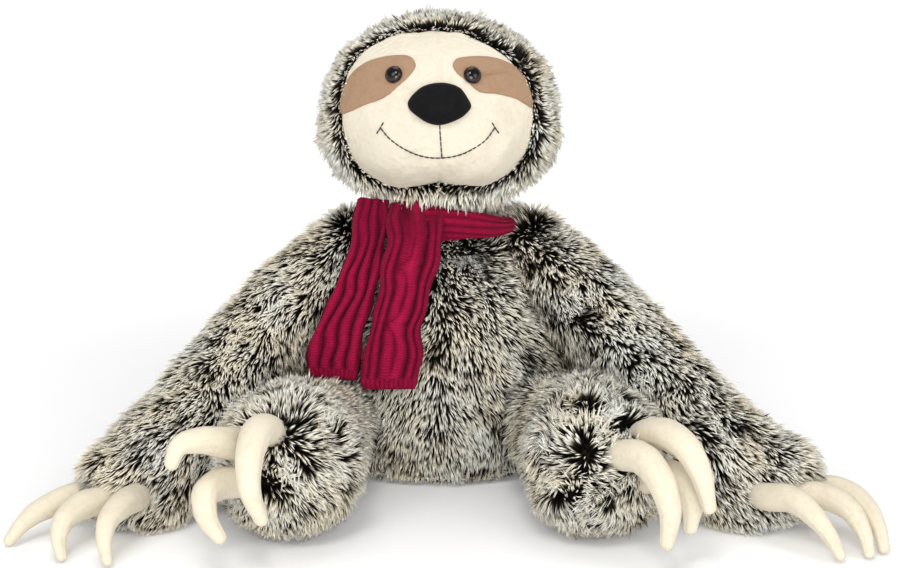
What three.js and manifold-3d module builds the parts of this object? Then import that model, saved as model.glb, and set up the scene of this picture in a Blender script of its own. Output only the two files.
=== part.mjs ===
import * as THREE from 'three';
import Module from 'manifold-3d';

// Plush sloth sitting on its flat seat, millimetres, +Z up, face towards -Y.
// "_l" is the negative X side, "_r" the positive X side.

// Clearances
const GAP = 0.4; // between sewn pieces that touch in the real toy
const SOCKET_GAP = 1.0; // around a limb that swings in the torso
const FUR_WALL = 11; // backing and pile of the fur fabric
const SOCKET_WALL = 7; // fur fabric where it dips in behind a limb
const FACE_WALL = 4; // short-pile face fabric with its lining

// Head: ellipsoid, and the direction that the face looks in
const HEAD_C = [0, -5, 252];
const HEAD_R = [82.3, 69.5, 66.2];
const FACE_TILT = 6; // degrees above horizontal
// Edge of the face panel: angle from the face axis, every 15 degrees from +X counterclockwise
const FACE_EDGE = [
  51.5, 51.3, 51.6, 52.4, 52.3, 55.2, 55.8, 57.4, 60.0, 60.8, 59.6, 56.3,
  54.8, 55.3, 59.2, 63.5, 60.0, 52.8, 48.5, 50.7, 57.1, 58.6, 55.7, 52.8,
];
// Neck: a ball in the head on a stem in the torso
const NECK_C = [0, 0, 200];
const NECK_R = 26;
const NECK_STEM_R = 20;
const NECK_STEM_Z = 158;
const NECK_HOLE_R = 30;

// Torso profile: height, half width, half depth, centre y
const TORSO = [
  [0, 66, 58, 2], [4, 79, 70, 2], [13, 93, 81, 2], [30, 103, 87, 2], [50, 106, 88, 2], [72, 103, 84, 1],
  [95, 94, 77, 0], [118, 82, 68, 0], [138, 70, 59, 0], [154, 58, 51, 0], [166, 47, 43, 0], [174, 37, 35, 0],
];
const TORSO_RIM = [[177, 30, 29, 0], [174, 25, 25, 0]];
const PELLETS = [[12, 50, 36, 24], [17, 57, 42, 24], [26, 59, 43, 24], [34, 50, 36, 24], [39, 28, 20, 24]];

// Limbs: path points [x, y, z, radius], the first one is the joint's centre
const ARM_L = [[-62, 0, 150, 31], [-97, -22, 124, 33], [-131, -55, 92, 34.5], [-162, -95, 58, 37], [-187, -122, 40.5, 35.5], [-209, -140, 31, 27]];
const ARM_R = [[62, 0, 150, 31], [89, -20, 131, 33], [121, -50, 103, 34.5], [156, -89, 67, 36.5], [188, -117, 42.5, 36], [222, -137, 32, 28]];
const LEG_L = [[-68, -58, 44, 31], [-82, -98, 44.5, 34], [-92, -130, 46.5, 41], [-96, -155, 48, 46.5]];
const LEG_R = [[68, -58, 44, 31], [84, -98, 44.5, 34], [96, -130, 46, 40.5], [101, -155, 47, 45]];
const ARM_SWEEP = [0, 60]; // degrees that an arm lifts
const LEG_SWEEP = [0, 18]; // degrees that a leg swings inwards
const ARM_REACH = 100; // how far from its joint a limb can lie against the torso
const LEG_REACH = 80;
const ARM_AXIS_L = [-0.6, 0.8, 0];
const ARM_AXIS_R = [-0.6, -0.8, 0];

// Claws: base, two points of the curve, tip
const HAND_CLAW_R = 9.5;
const FOOT_CLAW_R = 10.3;
const CLAWS = {
  claw_hand_l_1: [HAND_CLAW_R, [-229, -147, 22], [-246, -158, 19.5], [-259, -170, 16], [-267, -180, 10], [-272, -186, 4.5]],
  claw_hand_l_2: [HAND_CLAW_R, [-215, -163, 24], [-228, -180, 24.5], [-235.5, -197, 20.5], [-236.5, -207, 12.5], [-234.2, -213, 5]],
  claw_hand_l_3: [HAND_CLAW_R, [-194, -161, 25], [-200.3, -187, 28], [-206, -206, 24], [-206.6, -216, 15.5], [-204.3, -221, 5]],
  claw_hand_r_1: [HAND_CLAW_R, [243, -142, 23], [259, -152, 25.5], [271, -170, 22.5], [277, -190, 14.5], [278.7, -200, 5]],
  claw_hand_r_2: [HAND_CLAW_R, [229, -158, 24], [247, -169, 27.5], [260, -187, 24], [266, -200, 14.5], [268, -208, 5]],
  claw_hand_r_3: [HAND_CLAW_R, [208, -161, 25], [224, -182, 30], [235.5, -199, 24.5], [243.9, -207, 14.5], [249, -213, 5]],
  claw_foot_l_1: [FOOT_CLAW_R, [-123, -181, 66], [-134, -202, 75], [-147.2, -216, 81], [-157, -225, 80], [-161, -229, 71]],
  claw_foot_l_2: [FOOT_CLAW_R, [-121, -189, 45], [-135.4, -208, 50], [-142.1, -226, 48.5], [-140.3, -234, 37.5], [-133.1, -236, 26]],
  claw_foot_l_3: [FOOT_CLAW_R, [-104, -184, 76], [-110.9, -206, 83], [-114.3, -230, 73], [-113.4, -238, 56], [-107.2, -238, 38.5]],
  claw_foot_r_1: [FOOT_CLAW_R, [129, -176, 71], [141.7, -200, 79.2], [152.1, -218, 75.6], [159.4, -227, 62.7], [164.6, -229, 42.8]],
  claw_foot_r_2: [FOOT_CLAW_R, [128, -184, 45.5], [144.9, -200, 52.5], [153.7, -211, 47], [155.9, -216, 36], [154.7, -219, 26]],
  claw_foot_r_3: [FOOT_CLAW_R, [113, -191, 63], [125.4, -212, 67.7], [134.9, -230, 59.3], [140.2, -236, 42.2], [138.9, -236, 22.2]],
};
const HAND_CLAW_TAPER = [1, 0.97, 0.88, 0.74, 0.56, 0.36]; // share of the radius, from the paw to the tip
const FOOT_CLAW_TAPER = [1, 1, 0.94, 0.82, 0.66, 0.42];
const CLAW_DIMPLE = 0.6;

// Face details, as angles around the head's centre: [right of centre, above centre]
const EYE_L = [-23.6, 27.1];
const EYE_R = [16.9, 27.1];
const EYE_RADIUS = 6;
const EYE_DOME = 4.2;
const SHANK_R = 2;
const SHANK_LENGTH = 15;
const WASHER_R = 7;
const WASHER_T = 1.8;
const PATCH_T = 1.4;
const PATCH_L_C = [-36, 23];
const PATCH_L = [[-13, 33], [-15, 37.5], [-20, 39.9], [-34, 38.2], [-45, 33.5], [-51, 27], [-53.5, 20], [-53.8, 10], [-51.5, 2.6], [-46, 4.2], [-36, 9.4], [-26.4, 14.2], [-20.5, 20.5], [-15.5, 27]];
const PATCH_R_C = [32, 26];
const PATCH_R = [[7.5, 34], [9.5, 37.5], [14, 38.9], [28, 38.8], [37.2, 36.2], [44, 31.5], [48, 24.5], [49, 16], [46, 7.8], [43.6, 9.2], [38.6, 12.4], [28, 16], [19.6, 17.8], [14, 23.5], [9.2, 29]];
const NOSE_C = [0.2, 11.8];
const NOSE_H = 8.5;
const NOSE = [[-14.2, 11.9], [-11.6, 17.2], [-7.1, 21.4], [0.2, 23.2], [5.2, 22.6], [9.9, 20.1], [12.9, 14.8], [14.3, 9.7], [11.2, 5.4], [6.6, 2.4], [0.2, 0.4], [-4.6, 1.4], [-9.8, 5.0], [-13.3, 8.4]];
const THREAD_R = 0.6;
const MOUTH_LIP = [[0.2, -0.9], [0.6, -7.4], [1.1, -15.9]];
const MOUTH_SMILE = [[-26.6, -2.6], [-21.4, -7.7], [-13.0, -12.9], [-5.9, -15.5], [1.1, -15.9], [8.4, -14.6], [14.8, -11.5], [20.5, -7.6], [24.9, -2.2]];
const MOUTH_TICK_L = [[-28.6, -6.1], [-26.6, -2.6], [-25.2, 0.4]];
const MOUTH_TICK_R = [[23.6, 0.5], [24.9, -2.2], [26.9, -5.6]];

// Scarf: loop around the neck, and two tails as [x, z, y, half width]
const SCARF_T = 3.2; // half thickness of a tail
const LOOP_C = [0, -8];
const LOOP_R = [48, 48];
const LOOP_HALF_T = 6.5;
const TAIL_FRONT = [[-16, 197, -65, 18.5], [-16.5, 187, -69, 19], [-17, 172, -71.5, 19], [-21, 150, -74.5, 19], [-25, 132, -77, 17], [-29, 115, -80, 17.5], [-31, 98, -84, 19.5], [-33.5, 85, -87.5, 20.5], [-34, 77, -88.5, 20]];
const TAIL_FRONT_TURN = 0;
const TAIL_REAR = [[-45, 194, -52.5, 12], [-47, 186, -55, 12], [-48, 172, -57.5, 12.5], [-51, 156, -61, 13], [-57, 138, -64, 15], [-63, 122, -67.5, 16], [-69, 106, -71.5, 18], [-72, 92, -75.5, 19], [-72, 81, -77.5, 19]];
const TAIL_REAR_TURN = 12;

// Colours
const FUR = '#8d8576';
const CREAM = '#f4ead6';
const CRIMSON = '#8f1535';

const wasm = await Module();
wasm.setup();

const rad = (d) => (d * Math.PI) / 180;
const V = (x, y, z) => new THREE.Vector3(x, y, z);

// A closed body from rings of equal length between two end points, or a closed loop of rings.
function loft(rings, start, end) {
  const n = rings[0].length;
  const points = rings.flat();
  const faces = [];
  const at = (i, j) => i * n + (j % n);
  const bands = start ? rings.length - 1 : rings.length;
  for (let i = 0; i < bands; i++) {
    const k = (i + 1) % rings.length;
    for (let j = 0; j < n; j++) {
      faces.push([at(i, j), at(i, j + 1), at(k, j + 1)], [at(i, j), at(k, j + 1), at(k, j)]);
    }
  }
  if (start) {
    const a = points.push(start) - 1;
    const b = points.push(end) - 1;
    for (let j = 0; j < n; j++) {
      faces.push([a, at(0, j + 1), at(0, j)], [b, at(rings.length - 1, j), at(rings.length - 1, j + 1)]);
    }
  }
  let volume = 0;
  for (const [a, b, c] of faces) volume += points[a].dot(points[b].clone().cross(points[c]));
  if (volume < 0) faces.forEach((f) => f.reverse());
  return new wasm.Manifold(new wasm.Mesh({
    numProp: 3,
    vertProperties: new Float32Array(points.flatMap((p) => [p.x, p.y, p.z])),
    triVerts: new Uint32Array(faces.flat()),
  }));
}

function geometry(body) {
  const mesh = body.getMesh();
  const g = new THREE.BufferGeometry();
  g.setAttribute('position', new THREE.BufferAttribute(new Float32Array(mesh.vertProperties), 3));
  g.setIndex(new THREE.BufferAttribute(new Uint32Array(mesh.triVerts), 1));
  g.computeVertexNormals();
  return g;
}

// ---- head ----

const bell = (x, s) => Math.exp(-((x / s) ** 2));

// How far the face swells out of the head's ellipsoid: muzzle, two chin lobes and the notch between them.
function bulge(az, el) {
  return 0.15 * bell(az, 30) * bell(el + 16, 22)
    + 0.06 * (bell(az - 25, 16) + bell(az + 25, 16)) * bell(el + 28, 15)
    - 0.062 * bell(az, 14) * bell(el + 47, 14);
}

// The hood is fuller at the sides, below the middle.
function jowls(az, el) {
  return 0.07 * bell(Math.abs(az) - 85, 45) * bell(el + 28, 22);
}

function onHead(d, lift, swell) {
  const el = Math.asin(Math.max(-1, Math.min(1, d.z))) * 180 / Math.PI;
  const az = Math.atan2(d.x, -d.y) * 180 / Math.PI;
  const k = 1 + (swell ? bulge(az, el) : jowls(az, el));
  return V(...HEAD_C.map((c, i) => c + (HEAD_R[i] * k + lift) * d.getComponent(i)));
}

function byAngles(az, el, lift) {
  const a = rad(az);
  const e = rad(el);
  return onHead(V(Math.sin(a) * Math.cos(e), -Math.cos(a) * Math.cos(e), Math.sin(e)), lift, true);
}

function around(alpha, psi) {
  const t = rad(FACE_TILT);
  const a = rad(alpha);
  const forward = V(0, -Math.cos(t), Math.sin(t));
  const up = V(0, Math.sin(t), Math.cos(t));
  return forward.multiplyScalar(Math.cos(a))
    .add(V(1, 0, 0).multiplyScalar(Math.sin(a) * Math.cos(rad(psi))))
    .add(up.multiplyScalar(Math.sin(a) * Math.sin(rad(psi))));
}

function faceEdge(psi) {
  const s = (((psi % 360) + 360) % 360) / 15;
  const i = Math.floor(s);
  const p = [-1, 0, 1, 2].map((k) => FACE_EDGE[(i + k + 24) % 24]);
  const t = s - i;
  return 0.5 * (2 * p[1] + (p[2] - p[0]) * t + (2 * p[0] - 5 * p[1] + 4 * p[2] - p[3]) * t * t + (3 * p[1] - p[0] - 3 * p[2] + p[3]) * t ** 3);
}

const HEAD_N = 22;
const psis = Array.from({ length: HEAD_N }, (_, j) => (j * 360) / HEAD_N);
const faceRing = (share, lift) => psis.map((p) => onHead(around(faceEdge(p) * share, p), lift, true));
const hoodRing = (t, lift) => psis.map((p) => {
  const edge = faceEdge(p) + 0.5;
  return onHead(around(edge + (180 - edge) * t, p), lift, false);
});

const faceShares = [0.2, 0.4, 0.58, 0.76, 0.92, 1];
let face = loft(
  [...faceShares.map((s) => faceRing(s, 0)), ...faceShares.slice().reverse().map((s) => faceRing(s, -FACE_WALL))],
  onHead(around(0, 0), 0, true), onHead(around(0, 0), -FACE_WALL, true),
);

const hoodSteps = [0, 0.08, 0.22, 0.38, 0.54, 0.7, 0.85];
let hood = loft(
  [...hoodSteps.slice().reverse().map((t) => hoodRing(t, 0)), ...hoodSteps.map((t) => hoodRing(t, -FUR_WALL))],
  onHead(around(180, 0), 0, false), onHead(around(180, 0), -FUR_WALL, false),
);

let headFill = loft(
  [
    ...faceShares.slice(0, 4).map((s) => faceRing(s, -FACE_WALL - 1)),
    psis.map((p) => onHead(around(faceEdge(p) * 0.9, p), -FUR_WALL - 1.5, false)),
    ...hoodSteps.slice(1).map((t) => hoodRing(t, -FUR_WALL - GAP)),
  ],
  onHead(around(0, 0), -FACE_WALL - 1, true), onHead(around(180, 0), -FUR_WALL - GAP, false),
);

// ---- revolved helpers ----

function frame(direction) {
  const w = direction.clone().normalize();
  const u = (Math.abs(w.z) < 0.9 ? V(0, 0, 1) : V(1, 0, 0)).cross(w).normalize();
  return [u, w.clone().cross(u), w];
}

// Rings [distance along the axis, radius] around an axis, closed at both ends on the axis.
function turnedBody(centre, direction, profile, n = 16) {
  const [u, v, w] = frame(direction);
  const c = Array.isArray(centre) ? V(...centre) : centre;
  const rings = profile.map(([h, r]) => Array.from({ length: n }, (_, j) => {
    const a = (j * 2 * Math.PI) / n;
    return c.clone().addScaledVector(w, h).addScaledVector(u, r * Math.cos(a)).addScaledVector(v, r * Math.sin(a));
  }));
  const first = profile[0];
  const last = profile[profile.length - 1];
  return loft(rings, c.clone().addScaledVector(w, first[2] ?? first[0]), c.clone().addScaledVector(w, last[2] ?? last[0]));
}

const arc = (r, from, to, steps) => Array.from({ length: steps + 1 }, (_, i) => {
  const a = rad(from + ((to - from) * i) / steps);
  return [-r * Math.cos(a), r * Math.sin(a)];
});

function ball(centre, r, n = 20) {
  const p = arc(r, 0, 180, n / 2).slice(1, -1);
  p[0].push(-r);
  p[p.length - 1].push(r);
  return turnedBody(centre, V(0, 0, 1), p, n);
}

// ---- neck ----

const neckProfile = [[NECK_STEM_Z - NECK_C[2], NECK_STEM_R - 3], [NECK_STEM_Z - NECK_C[2] + 3, NECK_STEM_R]];
const neckFrom = (Math.asin(NECK_STEM_R / NECK_R) * 180) / Math.PI;
neckProfile.push(...arc(NECK_R, neckFrom, 180, 6).slice(0, -1));
neckProfile[neckProfile.length - 1].push(NECK_R);
const neck = turnedBody(NECK_C, V(0, 0, 1), neckProfile, 16);
const neckRoomTop = arc(NECK_R + 1.4, 100, 180, 4).slice(0, -1);
neckRoomTop[neckRoomTop.length - 1].push(NECK_R + 1.4);
const neckRoom = turnedBody(NECK_C, V(0, 0, 1), [[-45, NECK_HOLE_R + 4], [-8, NECK_HOLE_R - 1.5], ...neckRoomTop], 16);
hood = hood.subtract(neckRoom);
headFill = headFill.subtract(neckRoom);

// ---- eyes, nose, mouth ----

function outward(az, el) {
  const h = 0.5;
  const a = byAngles(az + h, el, 0).sub(byAngles(az - h, el, 0));
  const b = byAngles(az, el + h, 0).sub(byAngles(az, el - h, 0));
  return a.cross(b).normalize();
}

// A patch that follows the face: an outline in angles, filled in towards its centre.
function patch(centre, outline, shares, bottom, top) {
  const n = outline.length;
  const closed = new THREE.CatmullRomCurve3(outline.map(([a, e]) => V(a, e, 0)), true);
  const edge = Array.from({ length: n }, (_, j) => closed.getPoint(j / n));
  const ring = (s, lift) => edge.map((p) => byAngles(
    centre[0] + (p.x - centre[0]) * s, centre[1] + (p.y - centre[1]) * s, lift,
  ));
  return loft(
    [...shares.map((s) => ring(s, top(s))), ...shares.slice().reverse().map((s) => ring(s, bottom))],
    byAngles(...centre, top(0)), byAngles(...centre, bottom),
  );
}

let patchL = patch(PATCH_L_C, PATCH_L, [0.5, 1], GAP, () => GAP + PATCH_T);
let patchR = patch(PATCH_R_C, PATCH_R, [0.5, 1], GAP, () => GAP + PATCH_T);
const nose = patch(NOSE_C, NOSE, [0.4, 0.75, 0.94, 1], GAP, (s) => GAP + 1.2 + (NOSE_H - 1.2) * Math.sqrt(Math.max(0, 1 - s ** 2.4)));

function eyeParts([az, el]) {
  const seat = byAngles(az, el, GAP + PATCH_T);
  const out = outward(az, el);
  const dome = Array.from({ length: 4 }, (_, i) => {
    const a = rad(i * 24);
    return [0.5 + 0.8 + (EYE_DOME - 0.8) * Math.sin(a), EYE_RADIUS * Math.cos(a)];
  });
  dome[dome.length - 1].push(0.5 + EYE_DOME);
  const eye = turnedBody(seat, out, [
    [-SHANK_LENGTH, SHANK_R], [0.5, SHANK_R], [0.5, EYE_RADIUS - 0.4], ...dome,
  ], 14);
  const hole = turnedBody(seat, out, [[-SHANK_LENGTH - 4, SHANK_R + 0.5], [8, SHANK_R + 0.5]], 8);
  const pocket = turnedBody(seat, out, [[-SHANK_LENGTH - 1, WASHER_R + 1], [8, WASHER_R + 1]], 10);
  const behind = -(GAP + PATCH_T + FACE_WALL + 1.4);
  const washer = turnedBody(seat, out, [[behind - WASHER_T, WASHER_R], [behind, WASHER_R]], 14)
    .subtract(turnedBody(seat, out, [[behind - WASHER_T - 2, SHANK_R + 0.3], [behind + 2, SHANK_R + 0.3]], 10));
  return { eye, hole, pocket, washer };
}

const eyeL = eyeParts(EYE_L);
const eyeR = eyeParts(EYE_R);
face = face.subtract(eyeL.hole).subtract(eyeR.hole);
patchL = patchL.subtract(eyeL.hole);
patchR = patchR.subtract(eyeR.hole);
headFill = headFill.subtract(eyeL.pocket).subtract(eyeR.pocket);

// A round thread or claw along a curve: rings [share of the curve, radius], rounded at the ends.
function along(curve, radii, n, startAngle = 0) {
  const steps = radii.length - 1;
  const frames = curve.computeFrenetFrames(steps, false);
  const rings = radii.map((r, i) => {
    const c = curve.getPointAt(i / steps);
    return Array.from({ length: n }, (_, j) => {
      const a = startAngle + (j * 2 * Math.PI) / n;
      return c.clone().addScaledVector(frames.normals[i], r * Math.cos(a)).addScaledVector(frames.binormals[i], r * Math.sin(a));
    });
  });
  return { rings, frames };
}

function thread(points, steps) {
  const flat = new THREE.CatmullRomCurve3(points.map(([a, e]) => V(a, e, 0)));
  const samples = Array.from({ length: steps + 1 }, (_, i) => flat.getPointAt(i / steps));
  const curve = new THREE.CatmullRomCurve3(samples.map((p) => byAngles(p.x, p.y, GAP + THREAD_R + 0.1)));
  const { rings, frames } = along(curve, Array(steps + 1).fill(THREAD_R), 5);
  return loft(
    rings,
    curve.getPointAt(0).addScaledVector(frames.tangents[0], -THREAD_R * 0.6),
    curve.getPointAt(1).addScaledVector(frames.tangents[steps], THREAD_R * 0.6),
  );
}

const mouth = thread(MOUTH_LIP, 4).add(thread(MOUTH_SMILE, 14)).add(thread(MOUTH_TICK_L, 2)).add(thread(MOUTH_TICK_R, 2));

// ---- limbs ----

const LIMB_N = 14;

// Rings along a limb, from the back of its ball to its rounded end; grow changes every radius.
function limbRings(path, grow, openAngle, endSteps = 4, ballSteps = 3, perPoint = 1) {
  const curve = new THREE.CatmullRomCurve3(path.map((p) => V(p[0], p[1], p[2])));
  const steps = (path.length - 1) * perPoint;
  const points = Array.from({ length: steps + 1 }, (_, i) => curve.getPoint(i / steps));
  const tangents = points.map((_, i) => curve.getTangent(i / steps));
  const radiusAt = (s) => {
    const i = Math.min(path.length - 2, Math.floor(s));
    const t = s - i;
    const k = t * t * (3 - 2 * t);
    return path[i][3] + (path[i + 1][3] - path[i][3]) * k + grow;
  };
  const ring = (c, tangent, r) => {
    const u = V(0, 0, 1).addScaledVector(tangent, -tangent.z).normalize();
    const v = tangent.clone().cross(u);
    return Array.from({ length: LIMB_N }, (_, j) => {
      const a = (j * 2 * Math.PI) / LIMB_N;
      return c.clone().addScaledVector(u, r * Math.cos(a)).addScaledVector(v, r * Math.sin(a));
    });
  };
  const rings = [];
  const r0 = radiusAt(0);
  for (let i = 0; i < ballSteps; i++) {
    const a = rad(openAngle + ((90 - openAngle) * i) / ballSteps);
    rings.push(ring(points[0].clone().addScaledVector(tangents[0], -r0 * Math.cos(a)), tangents[0], r0 * Math.sin(a)));
  }
  points.forEach((p, i) => rings.push(ring(p, tangents[i], radiusAt(i / perPoint))));
  const r1 = radiusAt(path.length - 1);
  const end = points[steps];
  for (let i = 1; i < endSteps; i++) {
    const a = rad((90 * i) / endSteps);
    rings.push(ring(end.clone().addScaledVector(tangents[steps], r1 * Math.sin(a)), tangents[steps], r1 * Math.cos(a)));
  }
  return {
    rings,
    back: points[0].clone().addScaledVector(tangents[0], -r0),
    tip: end.clone().addScaledVector(tangents[steps], r1),
  };
}

function limbSolid(path, grow) {
  const { rings, back, tip } = limbRings(path, grow, 22);
  return loft(rings, back, tip);
}

function limbSkin(path) {
  const outer = limbRings(path, 0, 32);
  const inner = limbRings(path, -FUR_WALL, 50);
  return loft([...outer.rings.reverse(), ...inner.rings], outer.tip, inner.tip);
}

function clawBody([r, ...points], shares) {
  const curve = new THREE.CatmullRomCurve3(points.map((p) => V(...p)));
  const { rings, frames } = along(curve, shares.map((s) => s * r), 9);
  const start = curve.getPointAt(0);
  const t0 = frames.tangents[0];
  const before = [40].map((deg) => {
    const a = rad(deg);
    return rings[0].map((p) => start.clone().addScaledVector(t0, -r * Math.cos(a)).addScaledVector(p.clone().sub(start), Math.sin(a)));
  });
  const tip = curve.getPointAt(1);
  const t1 = frames.tangents[frames.tangents.length - 1];
  const rt = r * shares[shares.length - 1];
  const after = [50].map((deg) => {
    const a = rad(deg);
    return rings[rings.length - 1].map((p) => tip.clone().addScaledVector(t1, rt * Math.sin(a)).addScaledVector(p.clone().sub(tip), Math.cos(a)));
  });
  return loft([...before, ...rings, ...after], start.clone().addScaledVector(t0, -r), tip.clone().addScaledVector(t1, rt));
}

const limbs = {
  arm_l: [ARM_L, ARM_AXIS_L, ARM_SWEEP, ARM_REACH, 'hand_l'],
  arm_r: [ARM_R, ARM_AXIS_R, ARM_SWEEP, ARM_REACH, 'hand_r'],
  leg_l: [LEG_L, [0, 0, 1], LEG_SWEEP, LEG_REACH, 'foot_l'],
  leg_r: [LEG_R, [0, 0, -1], LEG_SWEEP, LEG_REACH, 'foot_r'],
};

// The space that a limb sweeps near its joint: round at the back, and wider away from the joint.
function sweepRoom(path, axisNumbers, [from, to], reach, grow) {
  const axis = V(...axisNumbers).normalize();
  const pivot = V(path[0][0], path[0][1], path[0][2]);
  const along = V(path[2][0], path[2][1], path[2][2]).sub(pivot);
  const bend = [1, 2].map((i) => V(path[i][0], path[i][1], path[i][2]).sub(pivot).dot(axis));
  along.addScaledVector(axis, -along.dot(axis)).normalize();
  const half = rad((to - from) / 2 + 1);
  const mid = along.applyAxisAngle(axis, rad((to + from) / 2));
  const up = axis.clone().cross(mid);
  const across = 1 / Math.cos(Math.PI / 12); // flat sides lie outside the round limb
  const r0 = (path[0][3] + grow) * across;
  const far = (path[2][3] + grow + Math.max(0, ...bend.map(Math.abs))) * across;
  const turn = 90 - (half * 180) / Math.PI;
  const stations = [32, (32 + turn) / 2, turn].map((a) => -r0 * Math.cos(rad(a)));
  stations.push(reach * 0.4, reach);
  const rings = stations.map((s) => {
    const r = s <= 0 ? r0 : r0 + (far - r0) * Math.min(1, (s / reach) * 2.2);
    const wide = s <= 0 ? Math.sqrt(r0 * r0 - s * s) : r;
    const round = s < -r0 * Math.sin(half) - 1e-6;
    const flat = round ? 0.03 : Math.max(0.03, s * Math.tan(half));
    const cap = round ? wide : Math.max(r / Math.cos(half) + Math.min(0, s * Math.tan(half)), 1);
    const c = pivot.clone().addScaledVector(mid, s);
    return Array.from({ length: 14 }, (_, j) => {
      const top = j < 7;
      const a = Math.PI * (top ? j / 6 : 1 + (j - 7) / 6);
      return c.clone().addScaledVector(axis, wide * Math.cos(a)).addScaledVector(up, cap * Math.sin(a) + (top ? flat : -flat));
    });
  });
  return loft(rings, pivot.clone().addScaledVector(mid, -r0), pivot.clone().addScaledVector(mid, reach));
}

// ---- torso ----

const TORSO_N = 24;
const oval = ([z, a, b, y], off = 0, dz = 0) => Array.from({ length: TORSO_N }, (_, j) => {
  const t = (j * 2 * Math.PI) / TORSO_N;
  return V((a + off) * Math.cos(t), y + (b + off) * Math.sin(t), z + dz);
});
const torsoOuter = loft([...TORSO.map((p) => oval(p)), oval(TORSO_RIM[0])], V(0, 2, 0), V(0, 0, 177));
const innerRings = (off, floor) => TORSO.slice(2).map(([z, a, b, y]) => [Math.max(z, floor), a + off, b + off, y])
  .map((p, i) => (i === 0 ? [floor, p[1] - 6, p[2] - 6, p[3]] : p));
const hollow = loft(
  [...innerRings(-FUR_WALL, FUR_WALL).map((p) => oval(p)), oval([184, 24, 24, 0])],
  V(0, 2, FUR_WALL), V(0, 0, 184),
);
let torsoFill = loft(
  innerRings(-FUR_WALL - GAP, FUR_WALL + GAP).filter((p) => p[0] < 155).map((p) => oval(p)),
  V(0, 2, FUR_WALL + GAP), V(0, 0, 155),
);

let torso = torsoOuter;
let room = hollow;
for (const [path, axis, sweep, reach] of Object.values(limbs)) {
  const swept = (grow) => sweepRoom(path, axis, sweep, reach, grow);
  torso = torso.subtract(swept(SOCKET_GAP));
  room = room.subtract(swept(SOCKET_GAP + SOCKET_WALL));
  torsoFill = torsoFill.subtract(swept(SOCKET_GAP + SOCKET_WALL + GAP));
}
torso = torso.subtract(room);

const pelletRings = (grow) => PELLETS.map(([z, a, b, y]) => oval([z, a + grow, b + grow, y], 0, z > 30 ? grow : 0));
const pellets = loft(pelletRings(0), V(0, 24, PELLETS[0][0]), V(0, 24, PELLETS[4][0] + 1));
const pelletRoom = loft(
  [oval([2, PELLETS[0][1], PELLETS[0][2], 24]), ...pelletRings(GAP + 0.2)], V(0, 24, 2), V(0, 24, PELLETS[4][0] + 2),
);
torsoFill = torsoFill.subtract(pelletRoom);

// ---- scarf ----

const LOOP_N = 24;
const loop = loft(Array.from({ length: LOOP_N }, (_, i) => {
  const t = (i * 2 * Math.PI) / LOOP_N; // 0 at the front
  const side = Math.sin(t) ** 2;
  const front = Math.cos(t) > 0 ? Math.cos(t) ** 2 : 0;
  const back = Math.cos(t) < 0 ? Math.cos(t) ** 2 : 0;
  const z = 180 * front + 187 * side + 180 * back;
  const h = 9.5 * front + 5.5 * side + 6 * back;
  const out = V(Math.sin(t), -Math.cos(t), 0);
  const c = V(LOOP_C[0] + LOOP_R[0] * out.x, LOOP_C[1] + LOOP_R[1] * out.y, z);
  return Array.from({ length: 8 }, (_, j) => {
    const a = (j * 2 * Math.PI) / 8;
    return c.clone().addScaledVector(out, LOOP_HALF_T * Math.cos(a)).add(V(0, 0, h * Math.sin(a)));
  });
}));

function tail(stations, turn) {
  const curve = new THREE.CatmullRomCurve3(stations.map(([x, z, y]) => V(x, y, z)));
  const across = V(Math.cos(rad(turn)), -Math.sin(rad(turn)), 0);
  const steps = stations.length - 1;
  const rings = [];
  for (let i = 0; i <= steps; i++) {
    const s = i;
    const k = Math.min(stations.length - 2, Math.floor(s));
    const w = stations[k][3] + (stations[k + 1][3] - stations[k][3]) * (s - k);
    const c = curve.getPoint(i / steps);
    const t = curve.getTangent(i / steps);
    const n = across.clone().cross(t).normalize();
    const edge = i === 0 || i === steps ? 0.75 : 1;
    rings.push(Array.from({ length: 10 }, (_, j) => {
      const a = (j * 2 * Math.PI) / 10;
      const cx = Math.sign(Math.cos(a)) * Math.abs(Math.cos(a)) ** 0.45;
      const sy = Math.sign(Math.sin(a)) * Math.abs(Math.sin(a)) ** 0.6;
      return c.clone().addScaledVector(across, w * cx).addScaledVector(n, SCARF_T * edge * sy);
    }));
  }
  const mean = (ring) => ring.reduce((a, b) => a.clone().add(b)).divideScalar(ring.length);
  return loft(rings, mean(rings[0]), mean(rings[rings.length - 1]));
}

// ---- assembly ----

const sloth = new THREE.Group();
sloth.name = 'plush_sloth';

function add(name, body, color, roughness = 1, metalness = 0) {
  const mesh = new THREE.Mesh(geometry(body), new THREE.MeshStandardMaterial({ color, roughness, metalness }));
  mesh.name = name;
  sloth.add(mesh);
}

add('torso_skin', torso, FUR);
add('torso_stuffing', torsoFill, '#ece9e2');
add('pellet_bag', pellets, '#b9b4a8');
add('neck_stuffing', neck, '#ece9e2');
add('head_skin', hood, FUR);
add('head_stuffing', headFill, '#ece9e2');
add('face_panel', face, CREAM);
add('eye_patch_l', patchL, '#c4a58a');
add('eye_patch_r', patchR, '#c4a58a');
add('eye_l', eyeL.eye, '#1b0f09', 0.1);
add('eye_r', eyeR.eye, '#1b0f09', 0.1);
add('eye_washer_l', eyeL.washer, '#e8e8e6', 0.5);
add('eye_washer_r', eyeR.washer, '#e8e8e6', 0.5);
add('nose', nose, '#17130f');
add('mouth_thread', mouth, '#2b1c14');

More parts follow.
